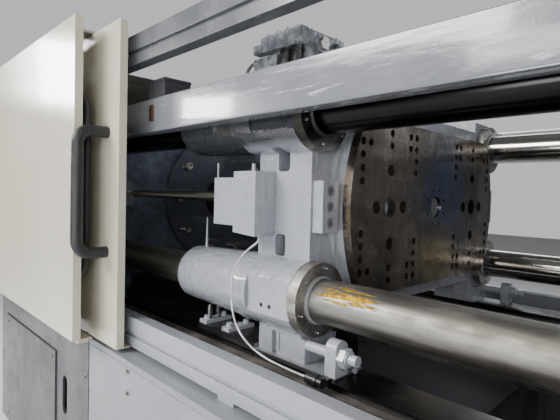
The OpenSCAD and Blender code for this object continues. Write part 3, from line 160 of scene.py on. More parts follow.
class Surface:
    """A finish: a material's node tree, built up step by step from Object coordinates"""

    def __init__(self, name):
        material = bpy.data.materials.new(name)
        material.use_nodes = True
        FINISHES[name] = material
        self.tree = material.node_tree
        self.tree.nodes.clear()
        output = self.add("ShaderNodeOutputMaterial")
        self.bsdf = self.add("ShaderNodeBsdfPrincipled")
        self.link(self.bsdf.outputs[0], output.inputs[0])
        self.place = self.add("ShaderNodeTexCoord").outputs["Object"]

    def add(self, kind, **values):
        made = self.tree.nodes.new(kind)
        for key, value in values.items():
            setattr(made, key, value)
        return made

    def link(self, a, b):
        self.tree.links.new(a, b)

    def fill(self, node, inputs):
        for socket, value in inputs.items():
            node.inputs[socket].default_value = value

    def set(self, **values):
        self.fill(self.bsdf, {key.replace("_", " "): value for key, value in values.items()})

    def stretched(self, scale):
        """Object coordinates, scaled unevenly to draw a pattern out"""
        m = self.add("ShaderNodeMapping")
        self.fill(m, {"Scale": scale})
        self.link(self.place, m.inputs["Vector"])
        return m.outputs[0]

    def noise(self, scale, detail, rough=0.55, vector=None, distortion=0.0):
        n = self.add("ShaderNodeTexNoise")
        self.fill(n, {"Scale": scale, "Detail": detail, "Roughness": rough, "Distortion": distortion})
        self.link(vector or self.place, n.inputs["Vector"])
        return n.outputs[0]

    def span(self, value, low, high, out_low=0.0, out_high=1.0):
        """Maps a value smoothly from low..high to out_low..out_high"""
        m = self.add("ShaderNodeMapRange", interpolation_type="SMOOTHSTEP")
        self.fill(m, {"From Min": low, "From Max": high, "To Min": out_low, "To Max": out_high})
        self.link(value, m.inputs["Value"])
        return m.outputs[0]

    def below(self, value, border, half):
        """1 below a border and 0 above it, with a soft step of half a width on each side"""
        return self.span(value, border - half, border + half, 1.0, 0.0)

    def math(self, operation, a, b):
        m = self.add("ShaderNodeMath", operation=operation)
        for socket, value in zip(m.inputs, (a, b)):
            if isinstance(value, (int, float)):
                socket.default_value = value
            else:
                self.link(value, socket)
        return m.outputs[0]

    def blend(self, factor, a, b):
        """Mix of two colours, each a tuple or a socket"""
        m = self.add("ShaderNodeMix", data_type="RGBA")
        self.link(factor, m.inputs[0])
        for socket, value in ((m.inputs[6], a), (m.inputs[7], b)):
            if isinstance(value, tuple):
                socket.default_value = (*value[:3], 1)
            else:
                self.link(value, socket)
        return m.outputs[2]

    def tones(self, pattern, low, high, color, dark, light):
        """A colour that a pattern moves between two shades of itself"""
        return self.blend(self.span(pattern, low, high), shade(color, dark), shade(color, light))

    def axes(self):
        s = self.add("ShaderNodeSeparateXYZ")
        self.link(self.place, s.inputs[0])
        return s.outputs

    def near(self, centre, size, soft):
        """1 inside an ellipsoid about centre, fading to 0 at its edge"""
        shift = self.add("ShaderNodeMapping", vector_type="TEXTURE")
        self.fill(shift, {"Location": centre, "Scale": size})
        self.link(self.place, shift.inputs["Vector"])
        length = self.add("ShaderNodeVectorMath", operation="LENGTH")
        self.link(shift.outputs[0], length.inputs[0])
        return self.span(length.outputs["Value"], soft, 1.0, 1.0, 0.0)

    def times(self, a, b):
        return self.math("MULTIPLY", a, b)

    def plus(self, a, b):
        return self.math("ADD", a, b)

    def bump(self, height, distance):
        b = self.add("ShaderNodeBump")
        self.fill(b, {"Distance": distance})
        self.link(height, b.inputs["Height"])
        self.link(b.outputs[0], self.bsdf.inputs["Normal"])

    def color(self, socket):
        self.link(socket, self.bsdf.inputs["Base Color"])

    def roughness(self, socket):
        self.link(socket, self.bsdf.inputs["Roughness"])


def shade(color, k):
    return tuple(min(1.0, c * k) for c in color)


def brushed_paint(name, color, rough, ridge=0.0054, grime=0.5, coat=0.85, oil_and_shade_from=None):
    """Thick gloss paint put on by brush: soft ridges and dust, and on some a black of old oil and painted
    shade under the upper front beam, by the upper front bar
    """
    s = Surface(name)
    broad = s.noise(2.2, 3)
    marks = s.noise(38, 4, 0.6)
    base = s.tones(broad, 0.35, 0.68, color, 0.93, 1.06)
    dust = s.times(s.span(marks, 0.58, 0.8), 0.35 * grime)
    base = s.blend(dust, base, shade(color, 0.55))
    # Black of old oil and painted shade under the upper front beam, round the upper front bar, boss and
    # sleeves
    if oil_and_shade_from:
        _, y, z = s.axes()
        wander = s.times(broad, 0.10)
        high = s.span(s.plus(z, wander), oil_and_shade_from, oil_and_shade_from + 0.03)
        front = s.below(s.plus(y, wander), -0.41, 0.05)
        base = s.blend(s.times(s.times(high, front), 0.93), base, OIL_AND_SHADE_BLACK)
    s.color(base)
    s.roughness(s.span(s.noise(9, 4), 0.3, 0.75, rough * 0.8, rough * 1.5))
    ridges = s.noise(26, 3, 0.5, s.stretched((1.0, 2.2, 0.35)), 0.6)
    dents = s.span(s.noise(11, 3, 0.5), 0.55, 0.75)
    lumps = s.noise(95, 3, 0.6)
    s.bump(s.plus(s.plus(ridges, s.times(dents, 0.5)), s.times(lumps, 0.3)), ridge)
    s.set(Coat_Weight=coat, Coat_Roughness=0.06)


def beam_paint(name, color):
    """Thick gloss paint on a long beam: runs along it, orange peel, and short pale streaks that are painted
    highlights on its brush ridges
    """
    s = Surface(name)
    base = s.tones(s.noise(1.7, 3), 0.35, 0.68, color, 0.94, 1.05)
    # Painted highlights: short pale streaks along the beam, also raised a little in the bump
    highlight_streaks = s.span(s.noise(30, 4, 0.62, s.stretched((0.22, 1.0, 2.6)), 0.5), 0.60, 0.70)
    along = s.span(s.noise(2.6, 2), 0.45, 0.62)
    streak = s.times(highlight_streaks, along)
    s.color(s.blend(s.times(streak, 0.5), base, STREAK_HIGHLIGHT_PALE))
    s.roughness(s.span(s.noise(7, 4), 0.3, 0.75, 0.15, 0.26))
    runs = s.noise(9, 3, 0.5, s.stretched((0.3, 1.0, 1.5)), 0.4)
    peel = s.noise(210, 2, 0.5)
    s.bump(s.plus(s.plus(runs, s.times(streak, 0.35)), s.times(peel, 0.05)), 0.003)
    s.set(Coat_Weight=0.6, Coat_Roughness=0.07)


def inner_bed_paint(name, color, first):
    """Bed paint: dark with old oil between the ways, and darker on the walls beside the first covers"""
    s = Surface(name)
    x, y, z = s.axes()
    smudge = s.noise(4.0, 5, 0.6)
    inside = s.span(s.plus(s.math("ABSOLUTE", y, 0.0), s.times(smudge, 0.03)), *BETWEEN_WAYS_Y, 1, 0)
    end = BED_LEN * MM / 2
    inside = s.times(inside, s.span(s.math("ABSOLUTE", x, 0.0), end - 0.03, end - 0.02, 1, 0))
    base = s.tones(smudge, 0.35, 0.7, color, 0.95, 1.04)
    low_wall = s.times(s.below(x, COVER_EDGE_X, 0.001), s.span(z, *LOW_WALL_Z, 1, 0))
    base = s.blend(low_wall, base, first)
    film = s.tones(s.noise(13, 6, 0.65), 0.35, 0.7, BED_OIL, 0.6, 2.0)
    s.color(s.blend(inside, base, film))
    s.roughness(s.span(s.noise(9, 5, 0.6), 0.3, 0.72, 0.3, 0.45))
    s.bump(s.noise(230, 2, 0.5), 0.0003)
    s.set(Coat_Weight=0.15, Coat_Roughness=0.14)


def clamp_end_paint(name, color):
    """Casting paint with painted shade behind the gates: a dark blue-grey mottle where the inside of the
    clamp lies in shade
    """
    s = Surface(name)
    x, y, _ = s.axes()
    cloud = s.noise(3.0, 5, 0.6)
    shut = s.plus(s.math("ABSOLUTE", y, 0.0), s.times(cloud, 0.04))
    # Painted shade: a dark blue-grey mottle inside the clamp, behind and between the gates
    inner = s.times(s.span(x, *BEHIND_GATES_X), s.span(shut, *BEHIND_GATES_Y, 1, 0))
    base = s.tones(cloud, 0.35, 0.68, color, 0.93, 1.06)
    film = s.tones(s.noise(17, 6, 0.62), 0.35, 0.7, INTERIOR_SHADE_BLUE, 0.7, 1.7)
    s.color(s.blend(s.times(inner, 0.9), base, film))
    s.roughness(s.span(s.noise(9, 4), 0.3, 0.75, 0.2, 0.4))
    s.bump(s.noise(26, 3, 0.5, s.stretched((1.0, 2.2, 0.35)), 0.6), 0.0012)
    s.set(Coat_Weight=0.4, Coat_Roughness=0.1)


def manifold_paint(name, color, black):
    """Worn paint of the valve block, with black coils under its front stack"""
    s = Surface(name)
    x, y, z = s.axes()
    coils = s.times(s.below(y, COIL_Y, 0.00075), s.below(z, COIL_Z, 0.0005))
    coils = s.times(coils, s.span(x, COIL_X - 0.0005, COIL_X + 0.0005))
    worn = s.noise(46, 5, 0.65)
    base = s.tones(worn, 0.40, 0.62, color, 0.55, 1.25)
    s.color(s.blend(coils, base, black))
    s.roughness(s.span(s.noise(24, 4), 0.3, 0.7, 0.16, 0.4))
    s.bump(s.plus(worn, s.noise(18, 3)), 0.004)
    s.set(Coat_Weight=0.4, Coat_Roughness=0.08)


def shoe_paint(name, color, rubber):
    """Painted shoe whose rear block is black rubber up to the clamps' height"""
    s = Surface(name)
    x, _, z = s.axes()
    block = s.times(s.below(x, SHOE_BLOCK_X, 0.0005), s.below(z, SHOE_BLOCK_TOP, 0.0002))
    block = s.math("MAXIMUM", block, s.span(z, 0.8545, 0.8555, 0.9, 0))
    worn = s.noise(34, 4, 0.6)
    base = s.blend(s.span(worn, 0.55, 0.72), color, shade(color, 0.5))
    s.color(s.blend(block, base, rubber))
    s.roughness(s.span(s.noise(14, 4), 0.3, 0.7, 0.22, 0.5))
    s.bump(s.noise(40, 3, 0.5), 0.0008)
    s.set(Coat_Weight=0.3, Coat_Roughness=0.12)


def sprayed_paint(name, color, rough, orange_peel=0.0004, grime=0.35, wiped=(1.0, 1.0, 1.0)):
    """Even enamel on sheet, with faint orange peel, wiped smears and a little dust"""
    s = Surface(name)
    smudge = s.noise(3.1, 5, 0.6)
    smear = s.noise(7.0, 4, 0.6, s.stretched(wiped), 0.3)
    base = s.tones(smudge, 0.35, 0.7, color, 0.955, 1.03)
    base = s.blend(s.span(smear, 0.45, 0.75, 0.0, 0.16), base, shade(color, 0.78))
    specks = s.times(s.span(s.noise(55, 5, 0.65), 0.62, 0.78), 0.3 * grime)
    s.color(s.blend(specks, base, shade(color, 0.6)))
    uneven = s.plus(s.times(s.noise(6, 5, 0.6), 0.5), s.times(smear, 0.5))
    s.roughness(s.span(uneven, 0.32, 0.7, rough * 0.7, rough * 1.8))
    s.bump(s.plus(s.noise(240, 2, 0.5), s.times(smudge, 2.0)), orange_peel)
    s.set(Coat_Weight=0.3, Coat_Roughness=0.07)


def cover_paint(name, color, first):
    """Enamel of the bed covers: the first sheet on each side is darker, and all get painted shade towards
    the floor
    """
    s = Surface(name)
    x, _, z = s.axes()
    smudge = s.noise(3.1, 5, 0.6)
    tone = s.blend(s.span(x, COVER_EDGE_X - 0.001, COVER_EDGE_X + 0.001), first, color)
    # Painted shade, darker towards the floor
    floor_shade = s.span(s.plus(z, s.times(smudge, 0.2)), 0.35, 0.85, 1.0, 0.0)
    tone = s.blend(s.times(floor_shade, 0.35), tone, shade(first, 0.8))
    tone = s.blend(s.span(smudge, 0.5, 0.75, 0.0, 0.3), tone, shade(first, 0.9))
    specks = s.span(s.noise(55, 5, 0.65), 0.62, 0.78, 0.0, 0.25)
    s.color(s.blend(specks, tone, shade(color, 0.5)))
    s.roughness(s.span(s.noise(6, 5, 0.6), 0.32, 0.7, 0.2, 0.5))
    s.bump(s.plus(s.noise(240, 2, 0.5), s.times(smudge, 2.0)), 0.0005)
    s.set(Coat_Weight=0.3, Coat_Roughness=0.1)


def ground_steel(name, color, rough, turned=(1.0, 0.02, 0.02), stain=0.4, film=None, grease=None,
                 oil_and_shade_top=False):
    """Ground or turned steel, with fine lines and stains: some has an oil film or grease, and the wiper
    rings a black of old oil and painted shade at their upper front, under the upper front beam
    """
    s = Surface(name)
    lines = s.noise(900, 2, 0.5, s.stretched(turned))
    stains = s.noise(4.5, 6, 0.6, s.stretched((0.7, 1.6, 1.6)))
    dull = s.span(stains, 0.42, 0.75)
    base = s.blend(s.times(dull, stain), color, shade(color, 0.45))
    gloss = s.plus(s.span(dull, 0, 1, rough, rough * 1.9), s.times(lines, 0.05))
    s.set(Metallic=1.0)
    if film:
        wiped = s.span(s.noise(14, 5, 0.65, s.stretched((0.08, 1.6, 1.6)), 0.6), 0.38, 0.62)
        base = s.blend(s.times(wiped, 0.62), base, film)
    if grease:
        spread = s.near(*GREASE_PATCH, 0.25)
        blobs = s.noise(52, 6, 0.68, s.stretched((0.12, 1.8, 1.8)), 1.0)
        smear = s.span(s.plus(s.times(spread, 0.27), blobs), 0.73, 0.80)
        thick = s.span(s.plus(s.times(spread, 0.30), s.noise(90, 4, 0.6)), 0.72, 0.86)
        base = s.blend(s.times(smear, 0.95), base, grease)
        base = s.blend(s.times(thick, s.times(smear, 0.8)), base, THICK_GREASE)
        gloss = s.plus(gloss, s.times(smear, 0.15))
        s.link(s.span(smear, 0, 1, 1.0, 0.6), s.bsdf.inputs["Metallic"])
        s.bump(s.plus(s.times(smear, 0.5), s.times(lines, 0.02)), 0.0014)
    else:
        s.bump(lines, 0.00003)
    # Black of old oil and painted shade on the upper front ring, under the upper front beam
    if oil_and_shade_top:
        _, y, z = s.axes()
        corner = s.times(s.span(z, *RING_CORNER_Z), s.below(y, RING_CORNER_Y, 0.02))
        base = s.blend(s.times(corner, 0.93), base, STEEL_OIL_AND_SHADE_BLACK)
    s.color(base)
    s.roughness(gloss)


def oily_plate(name, color):
    """Machined plate under old oil: brown film, wiped spots, runs, rust at one rim, and a blue and a yellow
    patch that are painted reflections
    """
    s = Surface(name)
    film = s.noise(5, 5, 0.6, distortion=0.5)
    runs = s.noise(26, 4, 0.6, s.stretched((1.0, 1.0, 0.22)), 0.4)
    wipe = s.noise(15, 4, 0.6, s.stretched((1.0, 0.25, 1.2)), 0.4)
    _, y, _ = s.axes()
    base = s.tones(film, 0.36, 0.66, color, 0.62, 1.25)
    # Painted reflections: a blue sheen in the middle and a yellowish patch lower down
    middle = s.near(*BLUE_REFLECTION_PATCH, 0.2)
    base = s.blend(s.times(middle, 0.75), base, BLUE_REFLECTION)
    low = s.near(*YELLOW_REFLECTION_PATCH, 0.2)
    base = s.blend(s.times(low, 0.7), base, YELLOW_REFLECTION)
    base = s.blend(s.span(wipe, 0.58, 0.74, 0.0, 0.4), base, WIPED_STEEL)
    base = s.blend(s.span(runs, 0.58, 0.72, 0.0, 0.5), base, BROWN_RUNS)
    rim = s.span(s.plus(s.times(y, -1.0), s.times(film, 0.05)), *RUSTY_RIM_Y)
    rust = s.times(rim, s.span(s.noise(30, 5, 0.6), 0.40, 0.6))
    s.color(s.blend(s.times(rust, 0.6), base, RIM_RUST))
    s.roughness(s.span(s.plus(s.times(wipe, 0.5), s.times(runs, 0.5)), 0.32, 0.68, 0.14, 0.34))
    s.bump(s.plus(s.noise(60, 5, 0.6), s.noise(400, 2, 0.5)), 0.00012)
    s.link(s.span(rust, 0, 1, 0.94, 0.3), s.bsdf.inputs["Metallic"])


def moulded(name, color, rough, grain=0.0002, coat=0.0):
    """Moulded plastic or rubber with a fine grain and handling marks"""
    s = Surface(name)
    wear = s.noise(24, 4, 0.6)
    s.color(s.blend(s.span(wear, 0.45, 0.75), color, shade(color, 1.8)))
    s.roughness(s.span(s.noise(12, 4, 0.6), 0.3, 0.7, rough * 0.8, rough * 1.35))
    s.bump(s.noise(700, 2, 0.5), grain)
    s.set(Coat_Weight=coat)


def matte_floor(name, color):
    """Plain matte floor with hardly any pattern"""
    s = Surface(name)
    s.color(s.blend(s.noise(0.8, 3), shade(color, 0.97), color))
    s.roughness(s.span(s.noise(3, 3), 0.3, 0.7, 0.8, 0.9))


def paint_finishes(settings):
    """Painted sheets and castings"""
    cream, casting, bed = (tuple(c) for c in (settings.cream, settings.casting, settings.bed))
    dark_bed = shade(bed, 0.42)
    wiped = (1.0, 1.0, 0.12)
    sprayed_paint("cream_enamel", cream, 0.10, wiped=wiped)
    sprayed_paint("guard_enamel", shade(cream, 0.98), 0.2, wiped=wiped)
    brushed_paint("casting_paint", casting, 0.26)
    # Platen, sleeves and wiper lips carry a black of old oil and painted shade under the upper front beam
    brushed_paint("platen_paint", casting, 0.26, oil_and_shade_from=1.43)
    brushed_paint("pale_casting_paint", shade(casting, 0.95), 0.26, oil_and_shade_from=1.37)
    beam_paint("beam_paint", shade(casting, 0.52))
    # The upper front gate rail is darkened: painted shade, as it faces away from the light
    sprayed_paint("upper_rail_paint", shade(casting, 0.3), 0.2)
    sprayed_paint("rail_paint", shade(casting, 0.92), 0.2)
    cover_paint("cover_paint", shade(casting, 0.75), dark_bed)
    sprayed_paint("panel_paint", shade(bed, 0.34), 0.3, 0.0005, 0.9)
    inner_bed_paint("bed_paint", shade(casting, 0.7), dark_bed)
    clamp_end_paint("clamp_end_paint", casting)
    brushed_paint("dark_casting_paint", shade(casting, 0.42), 0.3, 0.003, 0.8)
    manifold_paint("manifold_paint", shade(casting, 0.8), (0.008, 0.008, 0.01))
    sprayed_paint("box_paint", shade(casting, 0.12), 0.2, 0.0006)
    brushed_paint("gland_paint", (0.045, 0.05, 0.068), 0.2, 0.002, 0.9)
    shoe_paint("shoe_paint", shade(casting, 1.15), (0.012, 0.012, 0.013))
    brushed_paint("shoe_bolt_paint", shade(casting, 1.3), 0.3, 0.001, 0.4)
    brushed_paint("screw_paint", shade(casting, 0.5), 0.3, 0.001, 0.9)
    brushed_paint("lip_rubber", (0.25, 0.25, 0.255), 0.45, 0.0005, coat=0.1, oil_and_shade_from=1.42)


def metal_finishes(settings):
    """Ground, turned and blackened steel, and the copper clip"""
    steel, oil, grease = (tuple(c) for c in (settings.steel, settings.oil, settings.grease))
    brown = (0.12, 0.105, 0.08)
    faint_brown = (0.10, 0.088, 0.072)
    black = (0.01, 0.009, 0.009)
    across = (0.02, 1.0, 1.0)
    ground_steel("bright_bar", shade(steel, 0.58), 0.4, film=brown, grease=grease)
    # The upper front bar is near black: black oil and painted shade under the upper front beam
    ground_steel("dark_bar", (0.022, 0.02, 0.02), 0.16, stain=0.8, film=black)
    ground_steel("far_bar", shade(steel, 0.85), 0.13, film=faint_brown)
    ground_steel("ground_steel", steel, 0.2)
    # The wiper rings carry a black of old oil and painted shade under the upper front beam
    ground_steel("machined_dark", (0.50, 0.49, 0.47), 0.38, across, stain=0.6, film=(0.16, 0.125, 0.08),
                 oil_and_shade_top=True)
    ground_steel("chromed_steel", (0.60, 0.59, 0.56), 0.1, stain=0.2, film=(0.30, 0.25, 0.18))
    ground_steel("dark_chrome", (0.10, 0.095, 0.09), 0.14, stain=0.5)
    oily_plate("oily_plate", oil)
    ground_steel("way_strip", (0.05, 0.048, 0.045), 0.25, across, stain=0.7)
    ground_steel("copper_tube", (0.17, 0.085, 0.06), 0.42, stain=0.5)
    ground_steel("blackened_steel", (0.06, 0.058, 0.06), 0.36, stain=0.6)
    ground_steel("screw_steel", (0.34, 0.34, 0.34), 0.3, stain=0.6)


def moulded_finishes():
    """Plastic and rubber"""
    moulded("black_plastic", (0.012, 0.012, 0.014), 0.3, coat=0.1)
    moulded("grip_plastic", (0.012, 0.0125, 0.0135), 0.42, 0.0004)
    moulded("grey_rubber", (0.10, 0.10, 0.11), 0.45)
    moulded("white_cable", (0.46, 0.46, 0.45), 0.35)
    moulded("red_plastic", (0.55, 0.02, 0.015), 0.25, coat=0.3)
    moulded("green_plastic", (0.02, 0.28, 0.05), 0.25, coat=0.3)
    moulded("screen_glass", (0.02, 0.025, 0.03), 0.08, 0.00001, 0.6)


def make_finishes(settings):
    paint_finishes(settings)
    metal_finishes(settings)
    moulded_finishes()


# Finish of each solid and the kind of its edges, or None where the solid itself is kept
DRESS = {
    "bed_frame": ("bed_paint", "sheet"),
    "front_bed_covers": ("cover_paint", "sheet"),
    "rear_bed_covers": ("cover_paint", "sheet"),
    "access_panel": ("panel_paint", "sheet"),
    "levelling_feet": ("blackened_steel", "steel"),
    "slide_ways": ("way_strip", "steel"),
    "upper_beam_front": ("beam_paint", "cast"),
    "upper_beam_rear": ("beam_paint", "cast"),
    "tie_bar_upper_front": ("dark_bar", "steel"),
    "tie_bar_lower_front": ("bright_bar", "steel"),
    "tie_bars_rear": ("far_bar", "steel"),
    "tie_bar_nuts": ("dark_casting_paint", "cast"),
    "stationary_platen": ("casting_paint", "cast"),
    "cylinder_platen": ("clamp_end_paint", "cast"),
    "clamp_cylinder": ("casting_paint", "cast"),
    "gland_flange": ("gland_paint", "steel"),
    "gland_bolts": ("ground_steel", "steel"),
    "traverse_cylinders": ("dark_casting_paint", "steel"),
    "clamp_guard": ("guard_enamel", "steel"),
    "gate_rail_upper_front": ("upper_rail_paint", "steel"),
    "gate_rail_lower_front": ("rail_paint", "steel"),
    "gate_rails_rear": ("rail_paint", "steel"),
    "terminal_box": ("box_paint", "sheet"),
    "injection_ways": ("ground_steel", "steel"),
    "control_cabinet": ("guard_enamel", "steel"),
    "operator_panel": ("cream_enamel", "sheet"),
    "pump_motor": ("casting_paint", "cast"),
    "cabinet_door": ("cream_enamel", "steel"),
    "emergency_stop": ("red_plastic", "sheet"),
    "moving_platen": ("platen_paint", "cast"),
    "mould_plate": ("oily_plate", "steel"),
    "platen_sleeves": ("pale_casting_paint", "cast"),
    "wiper_rings": ("machined_dark", "steel"),
    "rod_anchor_covers": ("casting_paint", "cast"),
    "stop_block": ("casting_paint", "cast"),
    "block_screws": ("screw_paint", "steel"),
    "slide_shoes": ("shoe_paint", "sheet"),
    "shoe_bolts": ("shoe_bolt_paint", "steel"),
    "main_ram": ("dark_chrome", "steel"),
    "traverse_rods": ("chromed_steel", "steel"),
    "valve_manifold": ("manifold_paint", "sheet"),
    "ejector_cylinder": ("casting_paint", None),
    "cable_conduit": ("black_plastic", "steel"),
    "ejector_rod": ("ground_steel", "steel"),
    "front_gate": ("cream_enamel", "steel"),
    "front_gate_handle": ("grip_plastic", None),
    "outer_gate": ("cream_enamel", "steel"),
    "outer_gate_handle": ("grip_plastic", None),
    "rear_gate": ("cream_enamel", "steel"),
    "rear_gate_handle": ("grip_plastic", None),
    "injection_carriage": ("casting_paint", "cast"),
    "plasticising_barrel": ("blackened_steel", "steel"),
    "heater_bands": ("ground_steel", "steel"),
    "injection_cylinders": ("dark_casting_paint", "steel"),
    "hopper": ("cream_enamel", "steel"),
    "hopper_lid": ("cream_enamel", "steel"),
    "screw_drive": ("casting_paint", "cast"),
    "injection_screw": ("ground_steel", None),
}


# Mesh tools

SMOOTH_ANGLE = 40.0
SHARP_ANGLE = 28.0
FLAT_ANGLE = 0.3
SAME_POINT = 2e-6


def placed(name, data):
    """A new object in the scene that shows this data"""
    made = bpy.data.objects.new(name, data)
    bpy.context.scene.collection.objects.link(made)
    return made


def piece_from(bm, name, finish_name, body):
    """Makes a bmesh into a piece of the machine that rides on a body"""
    for edge in bm.edges:
        if len(edge.link_faces) == 2:
            edge.smooth = edge.calc_face_angle(0.0) < math.radians(SMOOTH_ANGLE)
    for face in bm.faces:
        face.smooth = True
    mesh = bpy.data.meshes.new(name)
    bm.to_mesh(mesh)
    bm.free()
    made = placed(name, mesh)
    mesh.materials.append(FINISHES[finish_name])
    weights = made.modifiers.new("Even shading", "WEIGHTED_NORMAL")
    weights.keep_sharp = True
    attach(made, body)
    return made


def soften(bm, width, segments=2):
    """Rounds every edge that is sharp enough"""
    joined = [e for e in bm.edges if len(e.link_faces) == 2]
    sharp = [e for e in joined if e.calc_face_angle(0.0) > math.radians(SHARP_ANGLE)]
    if sharp and width > 0:
        bmesh.ops.bevel(bm, geom=sharp, offset=width, offset_type="OFFSET", segments=segments, profile=0.5,
                        affect="EDGES", clamp_overlap=True, material=-1)


def dress_solid(node, finish_name, width):
    """A copy of a solid with rounded edges stands for it"""
    source = frame["nodes"][node]
    bm = bmesh.new()
    bm.from_mesh(source.data)
    bmesh.ops.remove_doubles(bm, verts=bm.verts, dist=SAME_POINT)
    bmesh.ops.dissolve_limit(bm, angle_limit=math.radians(FLAT_ANGLE), verts=bm.verts, edges=bm.edges)
    soften(bm, width)
    made = piece_from(bm, node + "_finished", finish_name, NODE_BODY[node])
    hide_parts(node)


def in_mm(box):
    """Both corners of a box, in millimetres"""
    return [[v / MM for v in corner] for corner in box]


def add_box(bm, low, high):
    """Block between two corners given in millimetres"""
    low, high = Vector(low) * MM, Vector(high) * MM
    size = high - low
    place = Matrix.Translation((low + high) / 2) @ Matrix.Diagonal((*size, 1.0))
    return bmesh.ops.create_cube(bm, size=1.0, matrix=place)["verts"]


TURNS = {"X": Matrix.Rotation(math.radians(90), 4, "Y"), "Y": Matrix.Rotation(math.radians(-90), 4, "X"),
         "Z": Matrix.Identity(4)}


def add_bar(bm, centre, radius, length, axis, sides=32):
    """Cylinder about a centre, in millimetres"""
    place = Matrix.Translation(Vector(centre) * MM) @ TURNS[axis]
    return bmesh.ops.create_cone(bm, cap_ends=True, segments=sides, radius1=radius * MM, radius2=radius * MM,
                                 depth=length * MM, matrix=place)["verts"]


def end_face(verts, direction):
    """The face round these vertices that lies furthest in a direction"""
    faces = {f for v in verts for f in v.link_faces}
    return max(faces, key=lambda f: f.calc_center_median().dot(Vector(direction)))


def add_cap_screw(bm, centre, size, axis, out=1):
    """Round cap screw with a sunk middle, standing on its centre point: its head is as high as its size"""
    unit = {"X": Vector((1, 0, 0)), "Y": Vector((0, 1, 0)), "Z": Vector((0, 0, 1))}[axis] * out
    head = add_bar(bm, Vector(centre) + unit * size * 0.5, size * 0.75, size, axis, 20)
    top = end_face(head, unit)
    bmesh.ops.inset_individual(bm, faces=[top], thickness=size * 0.32 * MM)
    bmesh.ops.translate(bm, verts=top.verts, vec=-unit * size * 0.45 * MM)


def add_hex(bm, centre, flats, height, axis):
    """Hexagon of a width over its flats, about a centre, in millimetres"""
    add_bar(bm, centre, flats / math.sqrt(3), height, axis, 6)


# Routes of the cords, as the solids have them, in millimetres

CABLE_ROUTE = [(-1247, -606, 1166), (-1249, -608, 1150), (-1262, -632, 1128), (-1278, -648, 1100),
               (-1291, -655, 1066), (-1295, -656, 1020), (-1292, -656, 980), (-1282, -655, 945),
               (-1262, -653, 915), (-1235, -650, 893), (-1200, -647, 877), (-1160, -645, 868),
               (-1120, -643, 864), (-1080, -642, 862), (-1046, -642, 862), (-1030, -642, 862)]
HOSE_ROUTE = [(-1290, -594, 1630), (-1298, -594, 1631), (-1306, -594, 1629), (-1314, -594, 1624),
              (-1321, -595, 1615), (-1326, -597, 1603), (-1329, -601, 1590), (-1328, -608, 1577),
              (-1323, -615, 1567), (-1314, -619, 1561), (-1304, -620, 1560)]

# Diameters of the cords, in metres
CABLE_D = 0.005
HOSE_D = 0.009


def spline_point(p, i, u):
    """Place at u, from 0 to 1, on the smooth curve from point i to the next one"""
    a, b, c, d = p[max(i - 1, 0)], p[i], p[i + 1], p[min(i + 2, len(p) - 1)]
    square = 2 * a - 5 * b + 4 * c - d
    cube = 3 * b - a - 3 * c + d
    return 0.5 * (2 * b + (c - a) * u + square * u ** 2 + cube * u ** 3)


def smooth_route(points, steps):
    """Points in metres along a smooth curve through a route, some steps for each of its stretches"""
    p = [Vector(q) * MM for q in points]
    return [spline_point(p, i, j / steps) for i in range(len(p) - 1) for j in range(steps)] + [p[-1]]


def square_ends(points):
    """The same points with their first and last steps laid along X, so that the ends meet faces squarely"""
    p = [q.copy() for q in points]
    p[1].yz = p[0].yz
    p[-2].yz = p[-1].yz
    return p


def lay_cord(name, points, diameter, finish_name, body, node):
    """A round cord along points, standing for its solid"""
    curve = bpy.data.curves.new(name, "CURVE")
    curve.dimensions = "3D"
    curve.bevel_depth = diameter / 2
    curve.bevel_resolution = 4
    curve.use_fill_caps = True
    spline = curve.splines.new("POLY")
    spline.points.add(len(points) - 1)
    for target, place in zip(spline.points, points):
        target.co = (*place, 1)
    made = placed(name, curve)
    curve.materials.append(FINISHES[finish_name])
    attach(made, body)
    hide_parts(node)


# Stage, in metres

CAMERA_PLACE = (-0.3625, -1.401, 1.279)
CAMERA_RIGHT = (0.70139, 0.71232, 0.02573)
CAMERA_UP = (-0.04304, 0.00629, 0.99905)
CAMERA_BACK = (0.71148, -0.70183, 0.03507)


def studio_world(strength):
    """Soft pale surroundings, brighter overhead than at the horizon"""
    world = bpy.data.worlds.new("studio")
    world.use_nodes = True
    tree = world.node_tree
    new, link = tree.nodes.new, tree.links.new
    back = tree.nodes["Background"]
    place = new("ShaderNodeTexCoord")
    parts = new("ShaderNodeSeparateXYZ")
    ramp = new("ShaderNodeValToRGB")
    link(place.outputs["Generated"], parts.inputs[0])
    link(parts.outputs[2], ramp.inputs[0])
    link(ramp.outputs[0], back.inputs[0])
    horizon, overhead = ramp.color_ramp.elements
    horizon.position = 0.0
    horizon.color = (0.34, 0.37, 0.42, 1)
    overhead.position = 0.75
    overhead.color = (0.95, 0.97, 1.0, 1)
    back.inputs[1].default_value = strength
    clear = new("ShaderNodeBackground")
    clear.inputs[0].default_value = (0.62, 0.63, 0.64, 1)
    pick = new("ShaderNodeMixShader")
    rays = new("ShaderNodeLightPath")
    link(rays.outputs["Is Camera Ray"], pick.inputs[0])
    link(back.outputs[0], pick.inputs[1])
    link(clear.outputs[0], pick.inputs[2])
    link(pick.outputs[0], tree.nodes["World Output"].inputs[0])
    return world


